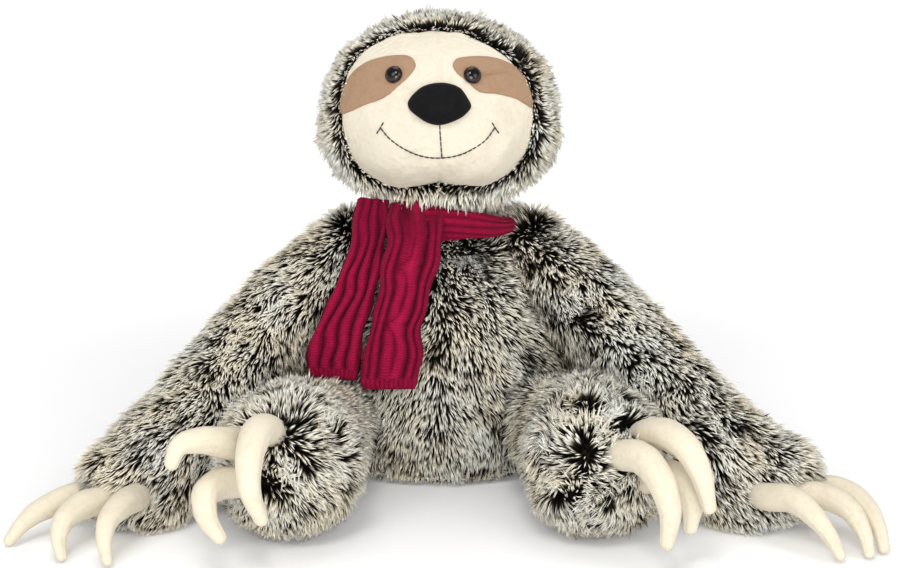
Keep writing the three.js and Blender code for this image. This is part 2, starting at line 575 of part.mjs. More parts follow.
for (const [name, [path, , , , paw]] of Object.entries(limbs)) {
  let skin = limbSkin(path);
  let fill = limbSolid(path, -FUR_WALL - GAP);
  for (const [claw, spec] of Object.entries(CLAWS)) {
    if (!claw.includes(paw)) continue;
    skin = skin.subtract(clawRoom(spec));
    fill = fill.subtract(clawRoom(spec));
  }
  add(`${name}_skin`, skin, FUR);
  add(`${name}_stuffing`, fill, '#ece9e2');
}
for (const [name, spec] of Object.entries(CLAWS)) {
  add(name, clawBody(spec, name.includes('hand') ? HAND_CLAW_TAPER : FOOT_CLAW_TAPER), CREAM, 0.9);
}

add('scarf_loop', loop, CRIMSON);
add('scarf_tail_front', tail(TAIL_FRONT, TAIL_FRONT_TURN), CRIMSON);
add('scarf_tail_rear', tail(TAIL_REAR, TAIL_REAR_TURN), CRIMSON);

function clawSeat(b) {
  const p = arc(b, 36, 90, 2);
  p[0].push(-b);
  return p;
}

// The hollow in a paw that a claw's round base sits in, wide enough for the claw to flex.
function clawRoom([r, base, next]) {
  const c = V(...base);
  const out = V(...next).sub(c).normalize();
  const b = (r + CLAW_DIMPLE) / Math.cos(Math.PI / 10);
  return turnedBody(c, out, [...clawSeat(b), [4, b + 1.2], [30, b + 7]], 10);
}

export default sloth;
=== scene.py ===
import math

import bpy
import numpy as np
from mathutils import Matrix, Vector
from mathutils.kdtree import KDTree


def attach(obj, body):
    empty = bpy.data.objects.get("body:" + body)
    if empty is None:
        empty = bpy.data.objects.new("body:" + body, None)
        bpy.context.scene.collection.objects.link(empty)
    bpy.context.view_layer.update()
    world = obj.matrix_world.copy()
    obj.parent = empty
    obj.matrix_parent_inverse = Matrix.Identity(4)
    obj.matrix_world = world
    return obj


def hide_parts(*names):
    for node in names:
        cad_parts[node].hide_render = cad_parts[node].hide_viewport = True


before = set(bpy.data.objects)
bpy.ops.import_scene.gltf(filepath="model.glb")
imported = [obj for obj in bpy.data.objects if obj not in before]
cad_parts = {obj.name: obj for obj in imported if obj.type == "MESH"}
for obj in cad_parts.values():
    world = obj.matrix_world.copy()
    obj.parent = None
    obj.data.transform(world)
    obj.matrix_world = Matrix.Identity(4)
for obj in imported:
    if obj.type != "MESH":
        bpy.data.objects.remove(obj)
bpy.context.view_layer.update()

# ---------------------------------------------------------------- dimensions, millimetres
HEAD_C = np.array([0.0, -5.0, 252.0])
HEAD_R = np.array([82.3, 69.5, 66.2])
FACE_TILT = 6.0
FACE_EDGE = np.array([
    51.5, 51.3, 51.6, 52.4, 52.3, 55.2, 55.8, 57.4, 60.0, 60.8, 59.6, 56.3,
    54.8, 55.3, 59.2, 63.5, 60.0, 52.8, 48.5, 50.7, 57.1, 58.6, 55.7, 52.8])
TORSO = np.array([
    [0, 66, 58, 2], [4, 79, 70, 2], [13, 93, 81, 2], [30, 103, 87, 2], [50, 106, 88, 2], [72, 103, 84, 1],
    [95, 94, 77, 0], [118, 82, 68, 0], [138, 70, 59, 0], [154, 58, 51, 0], [166, 47, 43, 0], [174, 37, 35, 0],
    [177, 30, 29, 0]], float)
LIMBS = {
    "arm_l": [[-62, 0, 150, 31], [-97, -22, 124, 33], [-131, -55, 92, 34.5], [-162, -95, 58, 37], [-187, -122, 40.5, 35.5], [-209, -140, 31, 27]],
    "arm_r": [[62, 0, 150, 31], [89, -20, 131, 33], [121, -50, 103, 34.5], [156, -89, 67, 36.5], [188, -117, 42.5, 36], [222, -137, 32, 28]],
    "leg_l": [[-68, -58, 44, 31], [-82, -98, 44.5, 34], [-92, -130, 46.5, 41], [-96, -155, 48, 46.5]],
    "leg_r": [[68, -58, 44, 31], [84, -98, 44.5, 34], [96, -130, 46, 40.5], [101, -155, 47, 45]],
}
CLAWS = {
    "claw_hand_l_1": [9.5, [-229, -147, 22], [-246, -158, 19.5], [-259, -170, 16], [-267, -180, 10], [-272, -186, 4.5]],
    "claw_hand_l_2": [9.5, [-215, -163, 24], [-228, -180, 24.5], [-235.5, -197, 20.5], [-236.5, -207, 12.5], [-234.2, -213, 5]],
    "claw_hand_l_3": [9.5, [-194, -161, 25], [-200.3, -187, 28], [-206, -206, 24], [-206.6, -216, 15.5], [-204.3, -221, 5]],
    "claw_hand_r_1": [9.5, [243, -142, 23], [259, -152, 25.5], [271, -170, 22.5], [277, -190, 14.5], [278.7, -200, 5]],
    "claw_hand_r_2": [9.5, [229, -158, 24], [247, -169, 27.5], [260, -187, 24], [266, -200, 14.5], [268, -208, 5]],
    "claw_hand_r_3": [9.5, [208, -161, 25], [224, -182, 30], [235.5, -199, 24.5], [243.9, -207, 14.5], [249, -213, 5]],
    "claw_foot_l_1": [10.3, [-123, -181, 66], [-134, -202, 75], [-147.2, -216, 81], [-157, -225, 80], [-161, -229, 71]],
    "claw_foot_l_2": [10.3, [-121, -189, 45], [-135.4, -208, 50], [-142.1, -226, 48.5], [-140.3, -234, 37.5], [-133.1, -236, 26]],
    "claw_foot_l_3": [10.3, [-104, -184, 76], [-110.9, -206, 83], [-114.3, -230, 73], [-113.4, -238, 56], [-107.2, -238, 38.5]],
    "claw_foot_r_1": [10.3, [129, -176, 71], [141.7, -200, 79.2], [152.1, -218, 75.6], [159.4, -227, 62.7], [164.6, -229, 42.8]],
    "claw_foot_r_2": [10.3, [128, -184, 45.5], [144.9, -200, 52.5], [153.7, -211, 47], [155.9, -216, 36], [154.7, -219, 26]],
    "claw_foot_r_3": [10.3, [113, -191, 63], [125.4, -212, 67.7], [134.9, -230, 59.3], [140.2, -236, 42.2], [138.9, -236, 22.2]],
}
CLAW_AT = [0, 0.2, 0.4, 0.6, 0.8, 1]
TAPER = {"hand": [1, 0.97, 0.88, 0.74, 0.56, 0.36], "foot": [1, 1, 0.94, 0.82, 0.66, 0.42]}
EYE_L = (-23.6, 27.1)
EYE_R = (16.9, 27.1)
PATCH_L_C = (-36.0, 23.0)
PATCH_L = [[-13, 33], [-15, 37.5], [-20, 39.9], [-34, 38.2], [-45, 33.5], [-51, 27], [-53.5, 20], [-54.2, 10], [-52.4, 2.2], [-46.4, 4], [-36, 9.4], [-26.4, 14.2], [-20.5, 20.5], [-15.5, 27]]
PATCH_R_C = (32.0, 26.0)
PATCH_R = [[7.5, 34], [9.5, 37.5], [14, 38.9], [28, 38.8], [37.2, 36.2], [44, 31.5], [48, 24.5], [49.4, 16], [48.4, 6.2], [45, 8], [38.6, 12.4], [28, 16], [19.6, 17.8], [14, 23.5], [9.2, 29]]
NOSE_C = (0.2, 11.8)
NOSE = [[-14.2, 11.9], [-11.6, 17.2], [-7.1, 21.4], [0.2, 23.2], [5.2, 22.6], [9.9, 20.1], [12.9, 14.8], [14.3, 9.7], [11.2, 5.4], [6.6, 2.4], [0.2, 0.4], [-4.6, 1.4], [-9.8, 5.0], [-13.3, 8.4]]
NOSE_H = 8.5
MOUTH_LIP = [[0.2, 0.6], [0.6, -7.4], [1.1, -15.9]]
MOUTH_SMILE = [[-26.6, -2.6], [-21.4, -7.7], [-13.0, -12.9], [-5.9, -15.5], [1.1, -15.9], [8.4, -14.6], [14.8, -11.5], [20.5, -7.6], [24.9, -2.2]]
MOUTH_TICK_L = [[-28.6, -6.1], [-26.6, -2.6], [-25.2, 0.4]]
MOUTH_TICK_R = [[23.6, 0.5], [24.9, -2.2], [26.9, -5.6]]
LOOP_C = (0.0, -8.0)
LOOP_R = (48.0, 48.0)
NECK_C = np.array([0.0, 0, 200])
NECK_R = 26.0
TAIL_FRONT = [[-16, 197, -65, 18.5], [-16.5, 187, -69, 19], [-17, 172, -71.5, 19], [-21, 150, -74.5, 19], [-25, 132, -77, 17], [-29, 115, -80, 17.5], [-31, 98, -84, 19.5], [-33.5, 85, -87.5, 20.5], [-34, 77, -88.5, 20]]
TAIL_REAR = [[-45, 194, -52.5, 12], [-47, 186, -55, 12], [-48, 172, -57.5, 12.5], [-51, 156, -61, 13], [-57, 138, -64, 15], [-63, 122, -67.5, 16], [-69, 106, -71.5, 18], [-72, 92, -75.5, 19], [-72, 81, -77.5, 19]]
TAIL_REAR_TURN = 12.0

PITCH = math.radians(14.142)
TOWARD = np.array([0.0, -math.cos(PITCH), math.sin(PITCH)])
UPWARD = np.array([0.0, math.sin(PITCH), math.cos(PITCH)])

rng = np.random.default_rng(11)

# ---------------------------------------------------------------- small helpers


def unit(v):
    v = np.asarray(v, float)
    return v / np.maximum(np.linalg.norm(v, axis=-1, keepdims=True), 1e-9)


def smooth(x, a, b):
    t = np.clip((x - a) / (b - a), 0, 1)
    return t * t * (3 - 2 * t)


def bell(x, s):
    return np.exp(-((x / s) ** 2))


class Waves:
    """A smooth random field, a sum of sine waves of about one wavelength in millimetres."""

    def __init__(self, wavelength, seed, n=14):
        r = np.random.default_rng(seed)
        d = unit(r.normal(size=(n, 3)))
        self.k = d * (2 * math.pi / (wavelength * r.uniform(0.7, 1.5, size=(n, 1))))
        self.f = r.uniform(0, 2 * math.pi, n)
        self.g = math.sqrt(2 / n)

    def __call__(self, p):
        return self.g * np.sin(p @ self.k.T + self.f).sum(axis=1)


def centripetal(points, t, closed=False):
    """Centripetal Catmull-Rom, t from 0 to 1, for any number of columns."""
    p = np.asarray(points, float)
    n = len(p)
    t = np.atleast_1d(np.asarray(t, float))
    s = (n if closed else n - 1) * t
    i = np.floor(s).astype(int)
    w = s - i
    if closed:
        q = [p[(i + k) % n] for k in (-1, 0, 1, 2)]
    else:
        i = np.minimum(i, n - 2)
        w = s - i
        ext = np.vstack([2 * p[0] - p[1], p, 2 * p[-1] - p[-2]])
        q = [ext[i + k + 1] for k in (-1, 0, 1, 2)]
    d = [np.maximum(np.sum((q[k + 1] - q[k]) ** 2, axis=1) ** 0.25, 1e-4)[:, None] for k in range(3)]
    t1 = ((q[1] - q[0]) / d[0] - (q[2] - q[0]) / (d[0] + d[1]) + (q[2] - q[1]) / d[1]) * d[1]
    t2 = ((q[2] - q[1]) / d[1] - (q[3] - q[1]) / (d[1] + d[2]) + (q[3] - q[2]) / d[2]) * d[1]
    w = w[:, None]
    return q[1] + t1 * w + (-3 * q[1] + 3 * q[2] - 2 * t1 - t2) * w**2 + (2 * q[1] - 2 * q[2] + t1 + t2) * w**3


def by_length(points, count, closed=False, dense=600):
    """Evenly spaced points on a curve."""
    c = centripetal(points, np.linspace(0, 1, dense + 1) * (1 - 1e-9 if closed else 1), closed)
    s = np.concatenate([[0], np.cumsum(np.linalg.norm(np.diff(c, axis=0), axis=1))])
    want = np.linspace(0, s[-1], count)
    return np.stack([np.interp(want, s, c[:, k]) for k in range(c.shape[1])], axis=1)


# ---------------------------------------------------------------- head surface


def bulge(az, el):
    return (0.15 * bell(az, 30) * bell(el + 16, 22)
            + 0.06 * (bell(az - 25, 16) + bell(az + 25, 16)) * bell(el + 28, 15)
            - 0.062 * bell(az, 14) * bell(el + 47, 14))


def jowls(az, el):
    return 0.07 * bell(np.abs(az) - 85, 45) * bell(el + 28, 22)


def on_head(d, lift, swell):
    el = np.degrees(np.arcsin(np.clip(d[..., 2], -1, 1)))
    az = np.degrees(np.arctan2(d[..., 0], -d[..., 1]))
    k = 1 + (bulge(az, el) if swell else jowls(az, el))
    lift = np.asarray(lift, float)
    return HEAD_C + (HEAD_R * k[..., None] + lift[..., None]) * d


def angles_dir(az, el):
    a, e = np.radians(az), np.radians(el)
    return np.stack([np.sin(a) * np.cos(e), -np.cos(a) * np.cos(e), np.sin(e)], axis=-1)


def by_angles(az, el, lift=0.0):
    az = np.asarray(az, float)
    return on_head(angles_dir(az, el), np.broadcast_to(lift, az.shape), True)


def around(alpha, psi):
    t = math.radians(FACE_TILT)
    a, p = np.radians(alpha), np.radians(psi)
    forward = np.array([0, -math.cos(t), math.sin(t)])
    up = np.array([0, math.sin(t), math.cos(t)])
    right = np.array([1.0, 0, 0])
    return (np.cos(a)[..., None] * forward + (np.sin(a) * np.cos(p))[..., None] * right
            + (np.sin(a) * np.sin(p))[..., None] * up)


def face_edge(psi):
    s = (np.asarray(psi, float) % 360) / 15
    i = np.floor(s).astype(int)
    t = s - i
    p = [FACE_EDGE[(i + k) % 24] for k in (-1, 0, 1, 2)]
    return 0.5 * (2 * p[1] + (p[2] - p[0]) * t + (2 * p[0] - 5 * p[1] + 4 * p[2] - p[3]) * t**2
                  + (3 * p[1] - p[0] - 3 * p[2] + p[3]) * t**3)


# ---------------------------------------------------------------- meshes


class Shape:
    """Vertices with quads and triangles, all facing outwards."""

    def __init__(self, verts, quads, tris):
        self.v = np.asarray(verts, float)
        self.q = np.asarray(quads, int).reshape(-1, 4)
        self.t = np.asarray(tris, int).reshape(-1, 3)
        T = self.triangles()
        a, b, c = (self.v[T[:, k]] for k in range(3))
        if np.einsum("ij,ij->", a, np.cross(b, c)) < 0:
            self.q = self.q[:, ::-1]
            self.t = self.t[:, ::-1]

    def triangles(self):
        return np.vstack([self.q[:, [0, 1, 2]], self.q[:, [0, 2, 3]], self.t])

    def normals(self):
        T = self.triangles()
        a, b, c = (self.v[T[:, k]] for k in range(3))
        n = np.cross(b - a, c - a)
        out = np.zeros_like(self.v)
        for k in range(3):
            np.add.at(out, T[:, k], n)
        return unit(out)


def loft(rings, start=None, end=None, closed_rows=False, closed_cols=True):
    """A skin over rings of points (rows, columns, 3), with a point at each end if given."""
    rings = np.asarray(rings, float)
    r, n = rings.shape[:2]
    v = rings.reshape(-1, 3)
    i = np.arange(r if closed_rows else r - 1)[:, None]
    j = np.arange(n if closed_cols else n - 1)[None, :]
    k, m = (i + 1) % r, (j + 1) % n
    q = np.stack([i * n + j, i * n + m, k * n + m, k * n + j], axis=-1).reshape(-1, 4)
    t = []
    j = np.arange(n if closed_cols else n - 1)
    m = (j + 1) % n
    if start is not None:
        v = np.vstack([v, start])
        t.append(np.stack([np.full(len(j), len(v) - 1), m, j], axis=1))
    if end is not None:
        v = np.vstack([v, end])
        b = (r - 1) * n
        t.append(np.stack([np.full(len(j), len(v) - 1), b + j, b + m], axis=1))
    return Shape(v, q, np.vstack(t) if t else np.zeros((0, 3), int))


def piece(name, shape, material, uv=None, uv_name="UVMap"):
    """A Blender object from a shape in millimetres. uv: one pair per vertex."""
    loops = np.concatenate([shape.q.ravel(), shape.t.ravel()]).astype(np.int32)
    starts = np.concatenate([np.arange(len(shape.q)) * 4, len(shape.q) * 4 + np.arange(len(shape.t)) * 3]).astype(np.int32)
    return raw_piece(name, shape.v, loops, starts, material, None if uv is None else np.asarray(uv)[loops], uv_name)


def raw_piece(name, verts, loops, starts, material, loop_uv=None, uv_name="UVMap"):
    me = bpy.data.meshes.new(name)
    me.vertices.add(len(verts))
    me.vertices.foreach_set("co", (verts * 0.001).astype(np.float32).ravel())
    me.loops.add(len(loops))
    me.loops.foreach_set("vertex_index", loops)
    me.polygons.add(len(starts))
    me.polygons.foreach_set("loop_start", starts)
    me.polygons.foreach_set("use_smooth", np.ones(len(starts), bool))
    if loop_uv is not None:
        layer = me.uv_layers.new(name=uv_name)
        layer.data.foreach_set("uv", loop_uv.astype(np.float32).ravel())
    me.update(calc_edges=True)
    me.materials.append(material)
    ob = bpy.data.objects.new(name, me)
    bpy.context.scene.collection.objects.link(ob)
    return ob


# ---------------------------------------------------------------- materials


def srgb(h):
    h = h.lstrip("#")
    c = [int(h[i:i + 2], 16) / 255 for i in (0, 2, 4)]
    return tuple(x / 12.92 if x <= 0.04045 else ((x + 0.055) / 1.055) ** 2.4 for x in c) + (1.0,)


class Nodes:
    def __init__(self, name):
        self.m = bpy.data.materials.new(name)
        self.m.use_nodes = True
        self.t = self.m.node_tree
        self.bsdf = self.t.nodes["Principled BSDF"]

    def add(self, kind, **values):
        n = self.t.nodes.new(kind)
        for k, v in values.items():
            if k.startswith("i_"):
                n.inputs[int(k[2:]) if k[2:].isdigit() else k[2:]].default_value = v
            else:
                setattr(n, k, v)
        return n

    def link(self, a, b):
        self.t.links.new(a, b)

    def math(self, op, a, b=None, c=None, clamp=False):
        n = self.t.nodes.new("ShaderNodeMath")
        n.operation = op
        n.use_clamp = clamp
        for k, x in enumerate((a, b, c)):
            if x is None:
                continue
            if isinstance(x, (int, float)):
                n.inputs[k].default_value = x
            else:
                self.link(x, n.inputs[k])
        return n.outputs[0]

    def coords(self):
        return self.add("ShaderNodeTexCoord").outputs["Object"]

    def noise(self, scale, detail=3.0, rough=0.5, vector=None, distortion=0.0):
        n = self.add("ShaderNodeTexNoise", i_Scale=scale, i_Detail=detail, i_Roughness=rough, i_Distortion=distortion)
        self.link(vector if vector is not None else self.coords(), n.inputs["Vector"])
        return n.outputs["Fac"]

    def ramp(self, fac, stops, interpolation="LINEAR"):
        n = self.add("ShaderNodeValToRGB")
        n.color_ramp.interpolation = interpolation
        e = n.color_ramp.elements
        e[0].position, e[0].color = stops[0]
        e[1].position, e[1].color = stops[-1]
        for p, c in stops[1:-1]:
            x = e.new(p)
            x.color = c
        self.link(fac, n.inputs["Fac"])
        return n.outputs["Color"]

    def mix(self, fac, a, b, blend="MIX"):
        n = self.add("ShaderNodeMix", data_type="RGBA", blend_type=blend)
        if isinstance(fac, (int, float)):
            n.inputs[0].default_value = fac
        else:
            self.link(fac, n.inputs[0])
        for k, x in ((6, a), (7, b)):
            if isinstance(x, tuple):
                n.inputs[k].default_value = x
            else:
                self.link(x, n.inputs[k])
        return n.outputs[2]

    def colour(self, c):
        if isinstance(c, tuple):
            self.bsdf.inputs["Base Color"].default_value = c
        else:
            self.link(c, self.bsdf.inputs["Base Color"])

    def bump(self, height, strength=0.5, distance=0.001, normal=None):
        n = self.add("ShaderNodeBump", i_Strength=strength, i_Distance=distance)
        self.link(height, n.inputs["Height"])
        if normal is not None:
            self.link(normal, n.inputs["Normal"])
        return n.outputs["Normal"]

    def finish(self, roughness=0.9, normal=None, **values):
        b = self.bsdf
        if isinstance(roughness, (int, float)):
            b.inputs["Roughness"].default_value = roughness
        else:
            self.link(roughness, b.inputs["Roughness"])
        for k, v in values.items():
            b.inputs[k.replace("_", " ")].default_value = v
        if normal is not None:
            self.link(normal, b.inputs["Normal"])
        return self.m


COLUMNS = 32


def fur_material():
    """Colour along a strand from its map: v runs from root to tip, and the column says how light the strand is.
    The tips are cream in some places and cooler in others."""
    m = Nodes("fur_pile")
    uv = m.add("ShaderNodeUVMap", uv_map="OFBake").outputs["UV"]
    xyz = m.add("ShaderNodeSeparateXYZ")
    m.link(uv, xyz.inputs[0])
    u, v = xyz.outputs[0], xyz.outputs[1]
    tone = m.math("DIVIDE", m.math("FLOOR", m.math("MULTIPLY", u, COLUMNS)), COLUMNS - 1, clamp=True)
    at = m.math("ADD", v, m.math("MULTIPLY", m.math("SUBTRACT", tone, 0.5), 0.30), clamp=True)
    drift = m.noise(26, 2, 0.5)
    hue = m.ramp(drift, [(0.36, srgb("#f4ecd8")), (0.50, srgb("#f4f0e3")), (0.66, srgb("#f1f1ea"))])
    light = m.ramp(at, [
        (0.0, srgb("#0a0908")), (0.40, srgb("#12100e")), (0.52, srgb("#2f2a26")), (0.62, srgb("#a19b91")),
        (0.70, srgb("#e6e3db")), (0.82, srgb("#ffffff")), (1.0, srgb("#ffffff"))])
    dark = m.ramp(at, [
        (0.0, srgb("#0a0908")), (0.55, srgb("#12100e")), (0.74, srgb("#3a342e")), (0.88, srgb("#8a8378")),
        (1.0, srgb("#b5aea1"))])
    fac = m.math("MULTIPLY", m.math("SUBTRACT", tone, 0.12), 3.4, clamp=True)
    m.colour(m.mix(1.0, m.mix(fac, dark, light), hue, "MULTIPLY"))
    return m.finish(0.7, Specular_IOR_Level=0.12)


def backing_material():
    m = Nodes("fur_backing")
    n = m.noise(900, 2)
    m.colour(m.ramp(n, [(0.3, srgb("#0c0a08")), (0.7, srgb("#241d17"))]))
    return m.finish(0.95, m.bump(n, 0.6, 0.0008), Specular_IOR_Level=0.1)


def pile_material(name, light, shade, nap=1.0, sheen=0.35):
    """Short pile: fine naps in soft patches."""
    m = Nodes(name)
    co = m.coords()
    fine = m.noise(2300, 3, 0.6, co)
    soft = m.noise(260, 3, 0.55, co, 0.6)
    wide = m.noise(38, 3, 0.5, co)
    f = m.math("ADD", m.math("MULTIPLY", fine, 0.45), m.math("MULTIPLY", soft, 0.55))
    f = m.math("ADD", m.math("MULTIPLY", f, 0.75), m.math("MULTIPLY", wide, 0.25))
    m.colour(m.ramp(f, [(0.34, shade), (0.52, light)]))
    h = m.math("ADD", m.math("MULTIPLY", fine, 0.5), m.math("MULTIPLY", soft, 1.0))
    return m.finish(0.95, m.bump(h, 0.55 * nap, 0.0007), Specular_IOR_Level=0.12, Sheen_Weight=sheen, Sheen_Roughness=0.45)


def knit_material():
    """Yarn with painted shade in the channels of the knit and a painted highlight on top of its ribs and stitches, by
    the map of the knit's height.
    """
    m = Nodes("scarf_yarn")
    co = m.coords()
    uv = m.add("ShaderNodeUVMap", uv_map="knit").outputs["UV"]
    xyz = m.add("ShaderNodeSeparateXYZ")
    m.link(uv, xyz.inputs[0])
    fuzz = m.noise(2600, 3, 0.65, co)
    soft = m.noise(240, 3, 0.5, co)
    f = m.math("ADD", m.math("MULTIPLY", fuzz, 0.34), m.math("MULTIPLY", soft, 0.26))
    # the map's first column carries the painted shade and highlight
    f = m.math("ADD", f, m.math("MULTIPLY", xyz.outputs[0], 0.62))
    m.colour(m.ramp(f, [(0.22, srgb("#34021a")), (0.40, srgb("#5e0724")), (0.60, srgb("#74092a")), (0.88, srgb("#98123c"))]))
    return m.finish(0.9, m.bump(fuzz, 0.5, 0.0005), Specular_IOR_Level=0.06, Sheen_Weight=0.06, Sheen_Roughness=0.5,
                    Sheen_Tint=srgb("#ff9db0"))


def nose_material():
    m = Nodes("nose_velour")
    co = m.coords()
    fine = m.noise(2600, 3, 0.6, co)
    soft = m.noise(220, 3, 0.5, co)
    m.colour(m.ramp(m.math("ADD", m.math("MULTIPLY", fine, 0.5), m.math("MULTIPLY", soft, 0.5)),
                    [(0.35, srgb("#030303")), (0.65, srgb("#100f0f"))]))
    return m.finish(0.85, m.bump(fine, 0.5, 0.0005), Specular_IOR_Level=0.15, Sheen_Weight=0.06, Sheen_Roughness=0.35)


def eye_material():
    """Black pupil in a dark brown iris, by distance from the middle of the map."""
    m = Nodes("eye_gloss")
    uv = m.add("ShaderNodeUVMap", uv_map="UVMap").outputs["UV"]
    xyz = m.add("ShaderNodeSeparateXYZ")
    m.link(uv, xyz.inputs[0])
    x = m.math("SUBTRACT", xyz.outputs[0], 0.5)
    y = m.math("SUBTRACT", xyz.outputs[1], 0.5)
    r = m.math("SQRT", m.math("ADD", m.math("MULTIPLY", x, x), m.math("MULTIPLY", y, y)))
    streaks = m.noise(30, 4, 0.6, uv)
    r2 = m.math("ADD", r, m.math("MULTIPLY", m.math("SUBTRACT", streaks, 0.5), 0.03))
    m.colour(m.ramp(r2, [
        (0.0, srgb("#020202")), (0.25, srgb("#030202")), (0.275, srgb("#0e0704")), (0.36, srgb("#2c180b")),
        (0.42, srgb("#140a06")), (0.47, srgb("#060403")), (0.5, srgb("#040303"))]))
    return m.finish(0.04, Specular_IOR_Level=0.36)


def thread_material():
    m = Nodes("mouth_thread")
    co = m.coords()
    w = m.add("ShaderNodeTexWave", i_Scale=900.0, i_Distortion=1.5)
    m.link(co, w.inputs["Vector"])
    m.colour(m.mix(w.outputs["Fac"], srgb("#1a100b"), srgb("#3b281d")))
    return m.finish(0.6, m.bump(w.outputs["Fac"], 0.6, 0.0003), Sheen_Weight=0.2)


def fibre_material(name, a, b):
    m = Nodes(name)
    n = m.noise(420, 4, 0.65, None, 2.0)
    m.colour(m.ramp(n, [(0.3, a), (0.7, b)]))
    return m.finish(0.95, m.bump(n, 0.8, 0.002), Specular_IOR_Level=0.1)


def plastic_material():
    m = Nodes("washer_plastic")
    n = m.noise(700, 2)
    m.colour(m.ramp(n, [(0.4, srgb("#d9d9d6")), (0.6, srgb("#e6e6e3"))]))
    return m.finish(0.45, m.bump(n, 0.15, 0.0002))


MAT_FUR = fur_material()
MAT_BACK = backing_material()
MAT_FACE = pile_material("face_pile", srgb("#cac2b1"), srgb("#c0b7a4"), 0.7, 0.08)
MAT_PATCH = pile_material("patch_pile", srgb("#957961"), srgb("#876b54"), 1.0, 0.08)
MAT_CLAW = pile_material("claw_felt", srgb("#d3cab6"), srgb("#c8bca5"), 0.5, 0.08)
MAT_KNIT = knit_material()
MAT_NOSE = nose_material()
MAT_EYE = eye_material()
MAT_THREAD = thread_material()
MAT_FILL = fibre_material("fibre_fill", srgb("#e4e2db"), srgb("#f6f5f1"))
MAT_BAG = fibre_material("pellet_cotton", srgb("#d8d2c2"), srgb("#ebe7db"))
MAT_WASHER = plastic_material()

for node_name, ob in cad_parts.items():
    m = None
    if node_name.endswith("_stuffing"):
        m = MAT_FILL
    elif node_name == "pellet_bag":
        m = MAT_BAG
    elif node_name.startswith("eye_washer"):
        m = MAT_WASHER
    if m is not None:
        for k in range(len(ob.material_slots)):
            ob.material_slots[k].material = m

CURL1, CURL2, CURL3 = Waves(24, 71), Waves(24, 72), Waves(24, 73)

# ---------------------------------------------------------------- body surfaces


class Skin:
    """A body's outer surface, with the fields that lay its fur on it, one value per vertex."""

    def __init__(self, shape):
        self.shape = shape
        self.n = shape.normals()
        k = len(shape.v)
        self.depth = np.full(k, 10.0)  # how far the backing lies under the surface
        self.comb = np.tile([0.0, 0, -1], (k, 1))
        self.length = np.full(k, 20.0)
        self.density = np.ones(k)
        self.tone = np.full(k, 0.5)
        self.lay = np.full(k, 64.0)  # degrees from upright at the tips
        self.stir = np.ones(k)  # how unruly the combing is


def torso_skin():
    n, rows = 96, 90
    prof = centripetal(TORSO, np.linspace(0, 1, rows))
    th = np.linspace(0, 2 * math.pi, n, endpoint=False)
    rings = np.stack([
        prof[:, 1:2] * np.cos(th), prof[:, 3:4] + prof[:, 2:3] * np.sin(th), np.repeat(prof[:, 0:1], n, 1)], axis=-1)
    rings[..., 2] = np.maximum(rings[..., 2], 0)
    inner = []
    for share in (0.25, 0.5, 0.75, 0.92):
        r = rings[0].copy()
        r[:, 0] *= share
        r[:, 1] = 2 + (r[:, 1] - 2) * share
        inner.append(r)
    rings = np.concatenate([np.array(inner), rings])
    s = Skin(loft(rings, [0, 2, 0], [0, 0, 177.5]))
    v = s.shape.v
    x, y, z = v.T
    s.depth = 2.0 + 8.0 * smooth(z, 0.5, 22)
    front = smooth(-y, 10, 45)
    part = np.tanh((x + 2) / 6)
    right = smooth(x, 10, 50)
    comb = np.stack([
        (0.38 * part * bell(z - 76, 46) + 0.30 * right * smooth(z, 30, 90)) * front + 0.2 * np.tanh(x / 60) * (1 - front),
        -0.1 * front + 0.1 * (1 - front), -np.ones_like(x)], axis=1)
    low = 1 - smooth(z, 2, 20)
    out = np.stack([x, y - 2, np.zeros_like(x)], axis=1)
    comb = comb * (1 - 0.5 * low[:, None]) + unit(out) * 0.5 * low[:, None]
    # up by the neck the pile stands round the scarf
    high = smooth(z, 150, 168)[:, None] * smooth(np.abs(x), 20, 42)[:, None]
    s.comb = comb * (1 - high) + np.array([0, 0, 1.0]) * high
    s.length = 14.3 - 6.3 * (1 - smooth(z, 0, 14))
    s.length -= 3 * smooth(z, 160, 176)
    s.density = np.where(z < 0.5, 0.25, 1.0)
    s.lay = 68 - 24 * smooth(z, 92, 150) * front - 30 * high[:, 0] - 10 * bell(x - 30, 22) * bell(z - 140, 26) * front
    s.stir = 0.75 + 0.9 * smooth(z, 105, 150)
    s.tone = 0.56 - 0.26 * bell(x + 2, 5) * bell(z - 76, 40) * front
    # the second term (x 62, z 88) is painted shade in the crease between the torso and the right arm
    s.tone -= 0.30 * bell(x - 30, 13) * bell(z - 152, 9) * front + 0.22 * bell(x - 62, 10) * bell(z - 88, 14) * front
    s.tone -= 0.12 * bell(x - 12, 10) * bell(z - 128, 12) * front
    # painted shade: darker just under the scarf band, and darker at the bottom where the pile meets the floor
    s.tone -= 0.16 * bell(x - 22, 26) * smooth(z, 148, 166) * front + 0.14 * (1 - smooth(z, 1, 14))
    return s


def limb_path(path, grow=0.0):
    p = np.asarray(path, float)
    m = (len(p) - 1) * 14
    c = centripetal(p[:, :3], np.linspace(0, 1, m + 1))
    t = unit(np.gradient(c, axis=0))
    s = np.linspace(0, len(p) - 1, m + 1)
    i = np.minimum(np.floor(s).astype(int), len(p) - 2)
    k = s - i
    k = k * k * (3 - 2 * k)
    r = p[i, 3] + (p[i + 1, 3] - p[i, 3]) * k + grow
    return c, t, r


